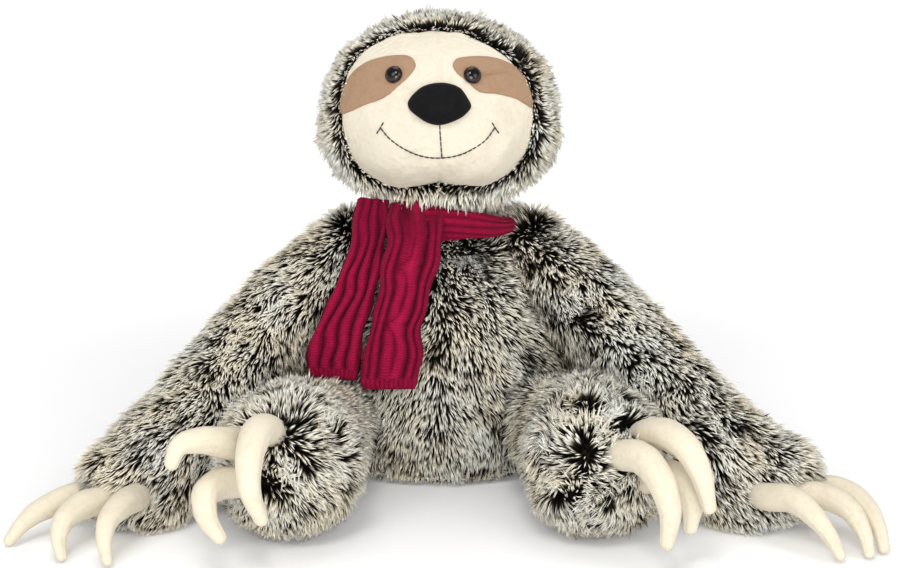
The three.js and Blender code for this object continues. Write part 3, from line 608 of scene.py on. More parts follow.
def limb_rings(path, n=64, end_steps=12, open_angle=8):
    c, t, r = limb_path(path)
    rings, share = [], []
    a = np.linspace(0, 2 * math.pi, n, endpoint=False)

    def ring(centre, tangent, radius):
        u = unit(np.array([0, 0, 1.0]) - tangent * tangent[2])
        v = np.cross(tangent, u)
        return centre + radius * (np.cos(a)[:, None] * u + np.sin(a)[:, None] * v)

    total = len(c) - 1
    for deg in np.linspace(open_angle, 90, 10)[:-1]:
        g = math.radians(deg)
        rings.append(ring(c[0] - t[0] * r[0] * math.cos(g), t[0], r[0] * math.sin(g)))
        share.append(-0.1 * math.cos(g))
    for k in range(total + 1):
        rings.append(ring(c[k], t[k], r[k]))
        share.append(k / total)
    for k in range(1, end_steps):
        g = math.radians(90 * k / end_steps)
        rings.append(ring(c[-1] + t[-1] * r[-1] * math.sin(g), t[-1], r[-1] * math.cos(g)))
        share.append(1 + 0.2 * math.sin(g))
    return np.array(rings), np.array(share), c[0] - t[0] * r[0], c[-1] + t[-1] * r[-1]


def limb_skin(name):
    path = LIMBS[name]
    rings, share, back, tip = limb_rings(path)
    s = Skin(loft(rings, back, tip))
    v, n = s.shape.v, s.n
    c, t, r = limb_path(path)
    d = np.linalg.norm(v[:, None, :] - c[None, ::4, :], axis=2)
    along = t[::4][np.argmin(d, axis=1)]
    side = -1.0 if name.endswith("_l") else 1.0
    if name.startswith("arm"):
        down = np.array([0.0, -0.15, -1.0])
        s.comb = along * 1.0 + down * 0.32
        s.length = np.full(len(v), 15.5)
        s.tone = (0.58 if side < 0 else 0.53) + 0.04 * (1 - smooth(v[:, 2], 34, 64))
        s.stir = np.full(len(v), 1.1)
        near_top = np.linalg.norm(v - np.array(path[0][:3]) - np.array([0, -10.0, 12.0]), axis=1)
        s.lay = 70 - 12 * (1 - smooth(near_top, 18, 48))
        # the pile hangs longer under the upper arm
        under = smooth(-n[:, 2], 0.1, 0.7)
        s.length += 9 * under * smooth(v[:, 2], 20, 40)
        s.lay = s.lay - 22 * under * (1 - smooth(v[:, 2], 60, 90))
        top = np.array(path[0][:3], float)
        whorls = [(top + np.array([side * 0, -24.0, 14.0]), 12, 0.34 if side < 0 else 0.2)]
        if side < 0:
            whorls += [(np.array([-112, -72.0, 92]), 14, 0.30), (np.array([-128, -88.0, 74]), 13, 0.30), (np.array([-160, -108.0, 78]), 11, 0.14)]
        else:
            whorls += [(np.array([96, -62.0, 118]), 10, 0.22), (np.array([118, -78.0, 100]), 9, 0.24), (np.array([150, -105.0, 80]), 12, 0.20)]
        for w, size, much in whorls:
            s.tone -= much * np.exp(-(np.linalg.norm(v - w, axis=1) / size) ** 2)
        # the pile by the neck stands up and leans over the scarf
        up = 1 - smooth(np.linalg.norm((v - np.array([side * 50, -10.0, 178])) / np.array([22, 45, 14]), axis=1), 0.4, 1.3)
        s.comb = s.comb * (1 - up[:, None]) + np.array([-side * 0.9, 0.0, 0.5]) * up[:, None]
        s.lay = s.lay - 20 * up
        s.length = s.length + 2 * up
    else:
        centre = np.array(path[-1][:3], float)
        rad = path[-1][3]
        spots = [(-3, 22, 0.34, 7.5, 0.7), (-13, -13, 0.20, 5.5, 0.4)] if side < 0 else [(-12, 8, 0.22, 6, 0.6)]
        dim = [(14, 2, 0.16, 6)] if side < 0 else [(8, 14, 0.14, 6), (1, -20, 0.14, 6), (12, -17, 0.10, 5), (-24, 20, 0.12, 6), (-20, -16, 0.08, 6)]
        push = np.zeros_like(v)
        near = np.full(len(v), 1e9)
        # painted shade: the thigh, behind the ball of the foot, is darker
        s.tone = 0.57 - 0.14 * (1 - smooth(-v[:, 1], 70, 118))

        def faces_viewer(dx, dz):
            return centre + np.array([1, 0, 0]) * dx + UPWARD * dz + TOWARD * math.sqrt(rad * rad - dx * dx - dz * dz)

        for dx, dz, much, size, strong in spots:
            q = v - faces_viewer(dx, dz)
            dist = np.linalg.norm(q, axis=1)
            push += strong * unit(q) / (1 + (dist / 14) ** 2)[:, None]
            near = np.minimum(near, dist)
            s.tone -= much * np.exp(-(dist / size) ** 2)
        for dx, dz, much, size in dim:
            s.tone -= much * np.exp(-(np.linalg.norm(v - faces_viewer(dx, dz), axis=1) / size) ** 2)
        back_along = -along * 0.2 + np.array([0.0, 0.0, -0.35])
        curl = np.stack([CURL1(v), CURL2(v), CURL3(v)], axis=1)
        s.comb = curl * ((0.62 if side > 0 else 0.4) * (1 - 0.65 * smooth(near, 34, 60)))[:, None] + unit(push) * ((0.5 if side > 0 else 1.0) - 0.4 * smooth(near, 12, 40))[:, None] + np.array([0, 0, -0.45]) * smooth(near, 12, 40)[:, None] + back_along * smooth(near, 35, 80)[:, None]
        s.length = np.full(len(v), 15.5)
        s.lay = 68 - (14 if side > 0 else 22) * (1 - smooth(near, 5, 18))
        s.stir = 1.6 - 0.6 * smooth(near, 34, 60)
    if name.startswith("arm"):
        tip = np.array(path[-1][:3], float)
        spread = (1 - smooth(v[:, 2], 6, 30)) * (1 - smooth(np.linalg.norm((v - tip)[:, :2], axis=1), 30, 70)) * smooth(-n[:, 1], -0.2, 0.5)
        v[:, 1] -= 8.0 * spread
        v[:, 2] -= np.minimum(v[:, 2] - 1.0, 5.0) * spread
        # towards the body the forearm sags onto the floor
        inner = smooth(side * (tip[0] - v[:, 0]), 4, 26) * (1 - smooth(side * (tip[0] - v[:, 0]), 62, 90))
        sag = inner * (1 - smooth(v[:, 2], 14, 58)) * smooth(-n[:, 1], -0.4, 0.4)
        v[:, 1] -= 14.0 * sag
        v[:, 2] -= np.minimum(np.maximum(v[:, 2] - 1.0, 0), 12.0) * sag
    else:
        # the stuffed foot and the knee swell under the pile
        v += n * (3.6 * smooth(v[:, 2], 8, 26) * smooth(-v[:, 1], 84, 118))[:, None]
        v[:, 2] += (7.0 if side > 0 else 3.0) * smooth(n[:, 2], 0.1, 0.9) * smooth(-v[:, 1], 62, 90) * (1 - smooth(-v[:, 1], 128, 165))
        # the ball sags onto the floor
        tip = np.array(path[-1][:3], float)
        out = (v - tip) * np.array([1, 1, 0])
        reach = np.linalg.norm(out, axis=1)
        sag = (1 - smooth(v[:, 2], 4, 34)) * smooth(reach, 6, 20) * (1 - smooth(reach, 58, 80))
        v += unit(out) * (6.0 * sag)[:, None]
        v[:, 2] -= np.minimum(np.maximum(v[:, 2] - 1.0, 0), 3.0) * sag
    low = 1 - smooth(v[:, 2], 2, 26)
    s.comb = s.comb + unit(v - (v @ np.array([0, 0, 1.0]))[:, None] * np.array([0, 0, 1.0]) - c[np.argmin(d, axis=1) * 4] * np.array([1, 1, 0])) * 0.5 * low[:, None]
    s.length = s.length - 6 * (1 - smooth(v[:, 2], 1, 16))
    s.depth = np.full(len(v), 10.0) - 3 * (1 - smooth(v[:, 2], 2, 16))
    return s


def head_skin():
    n = 128
    psi = np.linspace(0, 360, n, endpoint=False)
    edge = face_edge(psi) - 1.5
    rows = 70
    ts = np.linspace(0, 0.985, rows)
    rings, lifts = [], []
    for t in ts:
        alpha = edge + (180 - edge) * t
        rings.append(on_head(around(alpha, psi), np.zeros(n), False))
    # close the front behind the face panel
    inner = [on_head(around(edge * k, psi), np.full(n, -6.0), False) for k in (0.3, 0.6, 0.85, 0.97)]
    rings = np.array(inner + rings)
    row = np.concatenate([np.full(4, -1.0), ts])
    s = Skin(loft(rings, on_head(around(np.zeros(1), np.zeros(1)), np.full(1, -6.0), False)[0], on_head(around(np.full(1, 180.0), np.zeros(1)), np.zeros(1), False)[0]))
    v = s.shape.v
    m = len(v)
    t_of = np.concatenate([np.repeat(row, n), [-1.0, 1.0]])
    ps = np.concatenate([np.tile(psi, len(row)), [0, 0]])
    axis = np.array([0, -math.cos(math.radians(FACE_TILT)), math.sin(math.radians(FACE_TILT))])
    d = unit((v - HEAD_C) / HEAD_R)
    outward = unit(d - (d @ axis)[:, None] * axis)  # away from the face's axis
    cosa = d @ axis
    alpha = np.degrees(np.arccos(np.clip(cosa, -1, 1)))
    s.comb = outward * (1 - smooth(alpha, 95, 150))[:, None] - axis * 0.35 * smooth(alpha, 60, 110)[:, None] + np.array([0, 0.1, -1.0]) * smooth(alpha, 85, 140)[:, None]
    s.depth = 3.0 + 7.0 * smooth(t_of, 0.0, 0.14)
    s.length = 11.0 + 3.5 * smooth(t_of, 0.0, 0.16)
    # a longer fringe hangs under the chin
    el = np.degrees(np.arcsin(np.clip(d[:, 2], -1, 1)))
    chin = bell(ps - 270, 52) * smooth(t_of, -0.01, 0.05) * (1 - smooth(t_of, 0.30, 0.46))
    s.length = s.length + 10.5 * chin
    s.density = np.where(t_of < 0, 0.0, 1.0 + 0.5 * (1 - smooth(t_of, 0.0, 0.1)))
    s.tone = 0.54 - 0.06 * smooth(d[:, 2], 0.3, 0.9) + 0.02 * smooth(t_of, 0.05, 0.3) + 0.05 * (1 - smooth(t_of, 0.0, 0.05)) * (1 - chin) + 0.02 * chin + 0.09 * smooth(-d[:, 0], 0.2, 0.7) - 0.05 * smooth(d[:, 0], 0.2, 0.7)
    s.lay = 68 + 6 * (1 - smooth(t_of, 0.0, 0.08)) - 46 * chin
    s.comb = s.comb * (1 - 0.85 * chin[:, None]) + np.array([0, -1.1, -0.8]) * chin[:, None]
    rim = (1 - smooth(t_of, 0.012, 0.045)) * (1 - chin)
    s.comb = s.comb * (1 - rim[:, None]) - (outward + 0.4 * np.array([0, 0, 1.0])) * rim[:, None] * 0.8
    s.lay = s.lay - 14 * rim
    s.length = s.length - 2.5 * rim
    s.stir = np.where(t_of < 0, 1.0, 1.0 + 0.8 * rim)
    return s


def neck_skin():
    """The sleeve of fur between the shoulders and the head."""
    n = 48
    th = np.linspace(0, 2 * math.pi, n, endpoint=False)
    prof = [(160, 15.5), (164, 19.0), (172, 19.5), (180, 20.0), (188, 22.5)]
    prof += [(NECK_C[2] + 24.5 * math.sin(g), 24.5 * math.cos(g)) for g in np.radians(np.linspace(-22, 78, 16))]
    rings = np.array([np.stack([NECK_C[0] + r * np.cos(th), NECK_C[1] + r * np.sin(th), np.full(n, z)], axis=1) for z, r in prof])
    s = Skin(loft(rings, [0, 0, 160], [0, 0, NECK_C[2] + 24.5]))
    z = s.shape.v[:, 2]
    s.depth = np.full(len(z), 1.2)
    s.comb = np.tile([0.0, 0, -1], (len(z), 1))
    s.length = np.full(len(z), 7.0)
    s.density = np.where((z > 172) & (z < 205), 1.0, 0.0)
    s.lay = np.full(len(z), 52.0)
    s.tone = np.full(len(z), 0.36)
    return s


SKINS = {"torso": torso_skin(), "head": head_skin(), "neck": neck_skin()}
for _name in LIMBS:
    SKINS[_name] = limb_skin(_name)

# ---------------------------------------------------------------- where things are, for culling


def depth_torso(p):
    prof = centripetal(TORSO, np.linspace(0, 1, 60))
    z = p[:, 2]
    a = np.interp(z, prof[:, 0], prof[:, 1])
    b = np.interp(z, prof[:, 0], prof[:, 2])
    c = np.interp(z, prof[:, 0], prof[:, 3])
    k = np.sqrt((p[:, 0] / a) ** 2 + ((p[:, 1] - c) / b) ** 2) - 1
    d = k * np.minimum(a, b)
    return np.maximum(np.maximum(d, z - 177), -z)


def depth_tube(p, c, r):
    out = np.full(len(p), 1e9)
    for k in range(len(c)):
        out = np.minimum(out, np.linalg.norm(p - c[k], axis=1) - r[k])
    return out


LIMB_PATHS = {k: limb_path(v) for k, v in LIMBS.items()}
CLAW_PATHS = {}
for _k, (_r, *_pts) in CLAWS.items():
    _c = by_length(_pts, 12)
    CLAW_PATHS[_k] = (_c, _r * np.interp(np.linspace(0, 1, 12), CLAW_AT, TAPER[_k[5:9]]))


# painted shade: the pile is darker where a limb meets the torso, on the limb and on the torso beside it
for _name in LIMBS:
    _s = SKINS[_name]
    _s.tone = _s.tone - 0.24 * (1 - smooth(depth_torso(_s.shape.v), 0, 17))
    _cc, _tt, _rr = LIMB_PATHS[_name]
    _s = SKINS["torso"]
    _s.tone = _s.tone - 0.15 * (1 - smooth(depth_tube(_s.shape.v, _cc[::5], _rr[::5]), 0, 15))


def depth_head(p):
    k = np.linalg.norm((p - HEAD_C) / HEAD_R, axis=1) - 1
    return k * 70


def tail_back(p, stations):
    """Distance that a point lies in front of a tail's back face, or a negative number beside the tail."""
    st = np.asarray(stations, float)[::-1]
    z = p[:, 2]
    x = np.interp(z, st[:, 1], st[:, 0])
    y = np.interp(z, st[:, 1], st[:, 2])
    w = np.interp(z, st[:, 1], st[:, 3])
    on = (np.abs(p[:, 0] - x) < w + 1.5) & (z > st[0, 1] - 1) & (z < st[-1, 1])
    return np.where(on, (y + 3.4) - p[:, 1], -1.0)


# ---------------------------------------------------------------- fur

DENSITY = 0.76  # strands per square millimetre of the outer surface
TURN = Waves(38, 5)
TURN2 = Waves(12, 6)
TONE1 = Waves(26, 8)
TONE2 = Waves(9, 9)
LONG1 = Waves(15, 10)


def sample(skin, count, gen, turned=0.0):
    s = skin.shape
    T = s.triangles()
    a, b, c = (s.v[T[:, k]] for k in range(3))
    area = np.linalg.norm(np.cross(b - a, c - a), axis=1) / 2
    weight = area * skin.density[T].mean(axis=1)
    if count is None:
        return int(weight.sum())
    cum = np.cumsum(weight)
    at = (np.arange(count) + gen.uniform(0, 1, count)) * cum[-1] / count
    i = np.minimum(np.searchsorted(cum, at), len(T) - 1)
    r1, r2 = np.sqrt(gen.uniform(0, 1, count)), gen.uniform(0, 1, count)
    w = np.stack([1 - r1, r1 * (1 - r2), r1 * r2], axis=1)
    tri = T[i]

    def field(f):
        return np.einsum("ij,ij...->i...", w, f[tri])

    return {"p": field(s.v), "n": unit(field(skin.n)), "comb": field(skin.comb), "depth": field(skin.depth),
            "length": field(skin.length), "tone": field(skin.tone), "lay": field(skin.lay), "stir": field(skin.stir)}


def nearest(points, centres):
    tree = KDTree(len(centres))
    for k, c in enumerate(centres):
        tree.insert(c, k)
    tree.balance()
    return np.array([tree.find(q)[1] for q in points])


def group(points, centres):
    """Which tuft each point belongs to: the nearest centre, after the centres have moved to the middle of their points."""
    inv = nearest(points, centres)
    num = np.bincount(inv, minlength=len(centres))
    mid = np.stack([np.bincount(inv, points[:, k], minlength=len(centres)) for k in range(3)], axis=1)
    return nearest(points, mid[num > 0] / num[num > 0][:, None])


def mean_by(inv, num, f):
    if f.ndim == 1:
        return np.bincount(inv, f, minlength=len(num)) / num
    return np.stack([np.bincount(inv, f[:, k], minlength=len(num)) / num for k in range(f.shape[1])], axis=1)


STOPS = (0.0, 0.42, 0.74, 1.0)


def strands(skin, body, seed, keep=None, scale=1.0):
    gen = np.random.default_rng(seed)
    total = sample(skin, None, gen)
    f = sample(skin, int(total * DENSITY * scale), gen)
    p, n = f["p"], f["n"]
    root = p - n * f["depth"][:, None]
    root[:, 2] = np.maximum(root[:, 2], 1.2)
    count = len(p)
    ok = np.ones(count, bool)
    if body != "torso":
        if body.startswith(("arm", "leg")):
            ok &= depth_torso(p) > -16
    elif body == "torso":
        for q, (cc, tt, rr) in LIMB_PATHS.items():
            ok &= depth_tube(p, cc[::5], rr[::5]) > (-34 if q.startswith("arm") else -13)
    if body == "head":
        ok &= ~((depth_torso(p) < 0) | (np.linalg.norm(p[:, :2], axis=1) < 24) & (p[:, 2] < 215))
    if keep is not None:
        ok &= keep(p)
    f = {k: q[ok] for k, q in f.items()}
    p, n, root = f["p"], f["n"], root[ok]
    count = len(p)

    # tufts: strands near each other share a direction and close up to a common tip
    seeds = sample(skin, int(total / TUFT**2), gen)["p"]
    inv = group(p, seeds)
    num = np.maximum(np.bincount(inv), 1)
    tufts = len(num)
    pc = mean_by(inv, num, p)
    big = nearest(pc, sample(skin, int(total / 8.0**2), gen)["p"])
    _, big = np.unique(big, return_inverse=True)
    bnum = np.bincount(big)
    stir = mean_by(inv, num, f["stir"])
    ang_c = stir * (13 * TURN(pc) + 10 * TURN2(pc) + gen.normal(0, 9, tufts))
    phi_c = mean_by(inv, num, f["lay"]) + 6 * TURN2(pc[:, [1, 2, 0]]) + gen.normal(0, 7, tufts)
    len_c = 1 + 0.07 * LONG1(pc) + gen.normal(0, 0.10, tufts)
    tone_c = gen.normal(0, 0.13, tufts) + 0.10 * TONE1(pc) + 0.08 * TONE2(pc)

    t = unit(f["comb"] - (f["comb"] * n).sum(axis=1, keepdims=True) * n)
    ang = np.radians(ang_c[inv] + gen.normal(0, 6, count))
    t = t * np.cos(ang)[:, None] + np.cross(n, t) * np.sin(ang)[:, None]
    phi1 = np.radians(np.clip(phi_c[inv] + gen.normal(0, 4, count), 18, 86))
    phi0 = 0.5 * phi1 + np.radians(gen.normal(0, 4, count))
    phi1 = np.maximum(phi1, phi0 + 0.1)
    length = f["length"] * len_c[inv] * (1 + gen.normal(0, 0.07, count))

    def point(k):
        phi = phi0 + (phi1 - phi0) * k
        h = (np.sin(phi) - np.sin(phi0)) / (phi1 - phi0)
        g = (np.cos(phi0) - np.cos(phi)) / (phi1 - phi0)
        return root + (length * h)[:, None] * n + (length * g)[:, None] * t

    pts = [point(k) for k in STOPS]
    tip = mean_by(inv, num, pts[3])
    far = mean_by(big, bnum, tip)[big]
    pull = np.clip(0.78 + gen.normal(0, 0.08, tufts), 0.5, 0.92)[inv]
    move = (tip[inv] - pts[3]) * pull[:, None] + ((far - tip) * 0.16)[inv]
    for j, k in enumerate(STOPS):
        pts[j] = pts[j] + move * k**1.25
    ok = np.ones(count, bool)
    for key, (cc, rr) in CLAW_PATHS.items():
        if key[5:].startswith("hand_" + body[-1]) and body.startswith("arm") or key[5:].startswith("foot_" + body[-1]) and body.startswith("leg"):
            for j in (1, 2, 3):
                ok &= depth_tube(pts[j], cc, rr * CLAW_FREE) > 0.3
    if body == "torso":
        for st in (TAIL_FRONT, TAIL_REAR):
            ok &= np.maximum(tail_back(pts[2], st), tail_back(pts[3], st)) < 0.5
    tone = np.clip(f["tone"] + tone_c[inv] + gen.normal(0, 0.05, count), 0, 0.999)
    width = WIDTH * (1 + gen.normal(0, 0.15, count)) * np.interp(length, [8, 20], [0.85, 1.0])
    return [q[ok] for q in pts], n[ok], tone[ok], width[ok], gen


TUFT = 1.9  # distance between tufts
WIDTH = 0.37  # half the width of a strand
CLAW_FREE = np.interp(np.linspace(0, 1, 12), [0, 0.12, 0.3], [0.35, 0.8, 1.0])


def strand_mesh(name, pts, n, tone, width, gen, body):
    count = len(n)
    shares = (0.9, 1.0, 0.8)
    spin = math.pi / 2 + gen.normal(0, 0.35, count)  # a flat side down, a ridge up
    verts = np.empty((count, 10, 3))
    for j in range(3):
        d = unit(pts[j + 1] - pts[j])
        e1 = unit(np.cross(d, n))
        e2 = np.cross(d, e1)
        for k in range(3):
            a = spin + k * 2 * math.pi / 3
            verts[:, j * 3 + k] = pts[j] + (width * shares[j])[:, None] * (np.cos(a)[:, None] * e1 + 0.40 * np.sin(a)[:, None] * e2)
    verts[:, 9] = pts[3]
    verts[..., 2] = np.maximum(verts[..., 2], 0.25 + 0.15 * gen.uniform(0, 1, (count, 10)))
    faces, uvs = [], []
    col = np.floor(np.clip(tone, 0, 0.999) * COLUMNS)
    vv = (0.02, 0.42, 0.74, 0.98)
    for j in range(2):
        for k in range(3):
            m = (k + 1) % 3
            faces.append([j * 3 + k, j * 3 + m, j * 3 + 3 + m, j * 3 + 3 + k])
            uvs.append([(k, vv[j]), (k + 1, vv[j]), (k + 1, vv[j + 1]), (k, vv[j + 1])])
    for k in range(3):
        m = (k + 1) % 3
        faces.append([6 + k, 6 + m, 9])
        uvs.append([(k, vv[2]), (k + 1, vv[2]), (k + 0.5, vv[3])])
    faces.append([2, 1, 0])
    uvs.append([(0.2, 0.005), (1.5, 0.02), (2.8, 0.005)])
    # outward facing, whichever way the cross-section turns
    flat = np.array([x for f in faces for x in f])
    uv = np.array([x for f in uvs for x in f])
    sizes = np.array([len(f) for f in faces])
    per = len(flat)
    loops = (np.arange(count)[:, None] * 10 + flat[None, :]).ravel().astype(np.int32)
    starts = (np.arange(count)[:, None] * per + np.concatenate([[0], np.cumsum(sizes)[:-1]])[None, :]).ravel().astype(np.int32)
    lu = (col[:, None] + 0.12 + 0.76 * uv[None, :, 0] / 3) / COLUMNS
    lv = np.broadcast_to(uv[None, :, 1], lu.shape)
    ob = raw_piece(name, verts.reshape(-1, 3), loops, starts, MAT_FUR, np.stack([lu.ravel(), lv.ravel()], axis=1), "OFBake")
    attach(ob, body)
    return ob


MOST = 12300


def grow_fur(body, seed, order, keep=None, scale=1.0, label=None):
    pts, n, tone, width, gen = strands(SKINS[body], body, seed, keep, scale)
    count = len(n)
    o = np.argsort(order(pts[0]), kind="stable")
    parts = max(1, math.ceil(count / MOST))
    for k, idx in enumerate(np.array_split(o, parts)):
        strand_mesh(f"fur_{label or body}_{k + 1}", [q[idx] for q in pts], n[idx], tone[idx], width[idx], gen, body)


def backing(body, node):
    s = SKINS[body]
    v = s.shape.v - s.n * (s.depth + 0.4)[:, None]
    v[:, 2] = np.maximum(v[:, 2], 1.0)
    ob = piece(f"{body}_backing", Shape(v, s.shape.q, s.shape.t), MAT_BACK)
    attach(ob, body)
    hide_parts(node)
    return ob


backing("torso", "torso_skin")
backing("head", "head_skin")
backing("neck", "neck_stuffing")
for _name in LIMBS:
    backing(_name, f"{_name}_skin")

grow_fur("torso", 101, lambda p: np.arctan2(p[:, 1], p[:, 0]))
grow_fur("head", 102, lambda p: np.arctan2(p[:, 1] + 5, p[:, 0]), scale=1.15)
grow_fur("neck", 103, lambda p: np.arctan2(p[:, 1], p[:, 0]))
for _k, _name in enumerate(LIMBS):
    grow_fur(_name, 110 + _k, lambda p: p[:, 1])

# ---------------------------------------------------------------- face


def face_piece():
    n, rows = 240, 90
    psi = np.linspace(0, 360, n, endpoint=False)
    edge = face_edge(psi)
    shares = np.sin(np.linspace(0.02, 1, rows) * math.pi / 2) ** 1.05
    nap = Waves(3.0, 31)
    soft = Waves(17, 32)
    rings = []
    for k in shares:
        d = around(edge * k, psi)
        el = np.degrees(np.arcsin(d[:, 2]))
        az = np.degrees(np.arctan2(d[:, 0], -d[:, 1]))
        base = on_head(d, np.zeros(n), True)
        lift = 0.12 * nap(base) + 0.25 * soft(base)
        seam = np.exp(-((az - 0.3) / 0.9) ** 2) * (smooth(el, 22, 27) + smooth(-el, 17, 20))
        inside = 1 - smooth(k, 0.86, 0.97)
        lift -= 0.9 * seam * inside
        lift += 0.3 * np.exp(-((np.abs(az - 0.3) - 2.4) / 1.4) ** 2) * (smooth(el, 22, 27) + smooth(-el, 17, 20)) * inside
        roll = smooth(k, 0.93, 1.0)
        lift -= 3.2 * roll**2
        rings.append(on_head(d, lift, True))
    back = [on_head(around(edge * k, psi), np.full(n, -4.5), True) for k in (0.99, 0.7, 0.3)]
    shape = loft(np.array(rings + back), on_head(around(np.zeros(1), np.zeros(1)), np.zeros(1), True)[0],
                 on_head(around(np.zeros(1), np.zeros(1)), np.full(1, -4.5), True)[0])
    ob = piece("face_front", shape, MAT_FACE)
    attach(ob, "head")
    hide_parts("face_panel")


def pad(name, centre, outline, profile, bottom, material, node, crease=None, n=120, rows=26):
    """A sewn-on piece that follows the face: its edge in angles, filled in towards its centre."""
    edge = centripetal(np.asarray(outline, float), np.linspace(0, 1, n, endpoint=False), True)
    c = np.asarray(centre, float)
    shares = np.concatenate([[0.03], np.linspace(0.1, 0.9, rows), [0.94, 0.97, 0.99, 1.0]])
    rings = []
    for s in shares:
        a = c + (edge - c) * s
        lift = np.full(n, profile(s))
        if crease is not None:
            lift = lift + crease(a[:, 0], a[:, 1])
        rings.append(by_angles(a[:, 0], a[:, 1], lift))
    back = []
    for s in (1.0, 0.6, 0.2):
        a = c + (edge - c) * s
        back.append(by_angles(a[:, 0], a[:, 1], np.full(n, bottom)))
    mid = by_angles(c[:1], c[1:], np.full(1, profile(0) + (crease(c[:1], c[1:])[0] if crease else 0)))[0]
    ob = piece(name, loft(np.array(rings + back), mid, by_angles(c[:1], c[1:], np.full(1, bottom))[0]), material)
    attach(ob, "head")
    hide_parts(node)
    return ob


def patch_top(s):
    return 0.5 + 1.1 * math.sqrt(max(0.0, 1 - s**10))


def crease_right(az, el):
    # a tuck from the eye towards the temple, and the dip where the eye pulls the cloth in
    line = el - (27.6 + 0.06 * (az - 17))
    along = smooth(az, 17, 21) * (1 - smooth(az, 34, 42))
    dip = np.exp(-(((az - 16.9) ** 2 + (el - 27.1) ** 2) / 40.0))
    return -1.3 * np.exp(-(line / 1.1) ** 2) * along + 0.5 * np.exp(-((line - 2.4) / 1.6) ** 2) * along - 1.0 * dip


def crease_left(az, el):
    line = el - (27.4 - 0.05 * (az + 24))
    along = (1 - smooth(az, -28, -25)) * smooth(az, -40, -32)
    dip = np.exp(-(((az + 23.6) ** 2 + (el - 27.1) ** 2) / 40.0))
    return -0.5 * np.exp(-(line / 1.2) ** 2) * along - 1.0 * dip


face_piece()
pad("patch_left", PATCH_L_C, PATCH_L, patch_top, 0.0, MAT_PATCH, "eye_patch_l", crease_left)
pad("patch_right", PATCH_R_C, PATCH_R, patch_top, 0.0, MAT_PATCH, "eye_patch_r", crease_right)
pad("nose_pad", NOSE_C, NOSE, lambda s: 1.0 + (NOSE_H - 1.0) * math.sqrt(max(0.0, 1 - s**2.6)), 0.0, MAT_NOSE, "nose")


def eye(name, where, node):
    az, el = where
    seat = by_angles(np.array([az]), np.array([el]), np.array([1.0]))[0]
    h = 0.5
    a = by_angles(np.array([az + h]), np.array([el]))[0] - by_angles(np.array([az - h]), np.array([el]))[0]
    b = by_angles(np.array([az]), np.array([el + h]))[0] - by_angles(np.array([az]), np.array([el - h]))[0]
    w = unit(np.cross(a, b))
    if np.dot(w, TOWARD) < 0:
        w = -w
    u = unit(np.cross([0, 0, 1.0], w))
    v = np.cross(w, u)
    n = 64
    t = np.linspace(0, 2 * math.pi, n, endpoint=False)
    prof = [(-4.0, 2.0), (0.2, 2.0), (0.25, 5.4), (0.5, 5.9), (0.9, 6.0)]
    prof += [(0.9 + 3.6 * math.sin(g), 6.0 * math.cos(g)) for g in np.radians(np.linspace(6, 88, 22))]
    rings = np.array([seat + w * hh + rr * (np.cos(t)[:, None] * u + np.sin(t)[:, None] * v) for hh, rr in prof])
    shape = loft(rings, seat - w * 4.0, seat + w * 4.5)
    q = (shape.v - seat)
    uv = np.stack([0.5 + (q @ u) / 12.6, 0.5 + (q @ v) / 12.6], axis=1)
    behind = (q @ w) < 0.15
    uv[behind] = 0.5 + (uv[behind] - 0.5) * 0.3 + np.array([0.4, 0.4])
    ob = piece(name, shape, MAT_EYE, uv)
    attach(ob, "head")
    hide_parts(node)


eye("eye_left", EYE_L, "eye_l")
eye("eye_right", EYE_R, "eye_r")


def stitches(line, stitch, radius):
    """Backstitches: short round stitches, end to end, each one dipping into the cloth at its ends."""
    flat = by_length(line, 200)
    pos = by_angles(flat[:, 0], flat[:, 1], np.full(200, 0.0))
    up = by_angles(flat[:, 0], flat[:, 1], np.full(200, 1.0)) - pos
    s = np.concatenate([[0], np.cumsum(np.linalg.norm(np.diff(pos, axis=0), axis=1))])
    count = max(1, round(s[-1] / stitch))
    shapes = []
    n = 10
    t = np.linspace(0, 2 * math.pi, n, endpoint=False)
    for k in range(count):
        a, b = s[-1] * (k + 0.04) / count, s[-1] * (k + 0.96) / count
        x = np.linspace(max(a, 0), min(b, s[-1]), 11)
        c = np.stack([np.interp(x, s, pos[:, i]) for i in range(3)], axis=1)
        m = unit(np.stack([np.interp(x, s, up[:, i]) for i in range(3)], axis=1))
        g = np.linspace(-1, 1, 11)
        hump = np.sqrt(np.maximum(0, 1 - g**2))
        c = c + m * (-0.05 + 0.55 * hump[:, None] ** 0.8)
        rr = radius * (0.35 + 0.65 * hump**0.6)
        d = unit(np.gradient(c, axis=0))
        e = unit(np.cross(d, m))
        f = np.cross(e, d)
        rings = c[:, None, :] + rr[:, None, None] * (np.cos(t)[None, :, None] * e[:, None, :] + np.sin(t)[None, :, None] * f[:, None, :])
        shapes.append(loft(rings, c[0] - d[0] * rr[0] * 0.6, c[-1] + d[-1] * rr[-1] * 0.6))
    return shapes


def join(shapes):
    v, q, t, k = [], [], [], 0
    for s in shapes:
        v.append(s.v)
        q.append(s.q + k)
        t.append(s.t + k)
        k += len(s.v)
    out = Shape.__new__(Shape)
    out.v, out.q, out.t = np.vstack(v), np.vstack(q), np.vstack(t)
    return out


mouth = join(stitches(MOUTH_LIP, 3.6, 0.5) + stitches(MOUTH_SMILE, 3.6, 0.52) + stitches(MOUTH_TICK_L, 3.4, 0.5) + stitches(MOUTH_TICK_R, 3.4, 0.5))
_ob = piece("mouth_stitches", mouth, MAT_THREAD)
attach(_ob, "head")
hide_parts("mouth_thread")

# ---------------------------------------------------------------- claws


ROOT_IN = 11.0  # how far a claw reaches into the fur


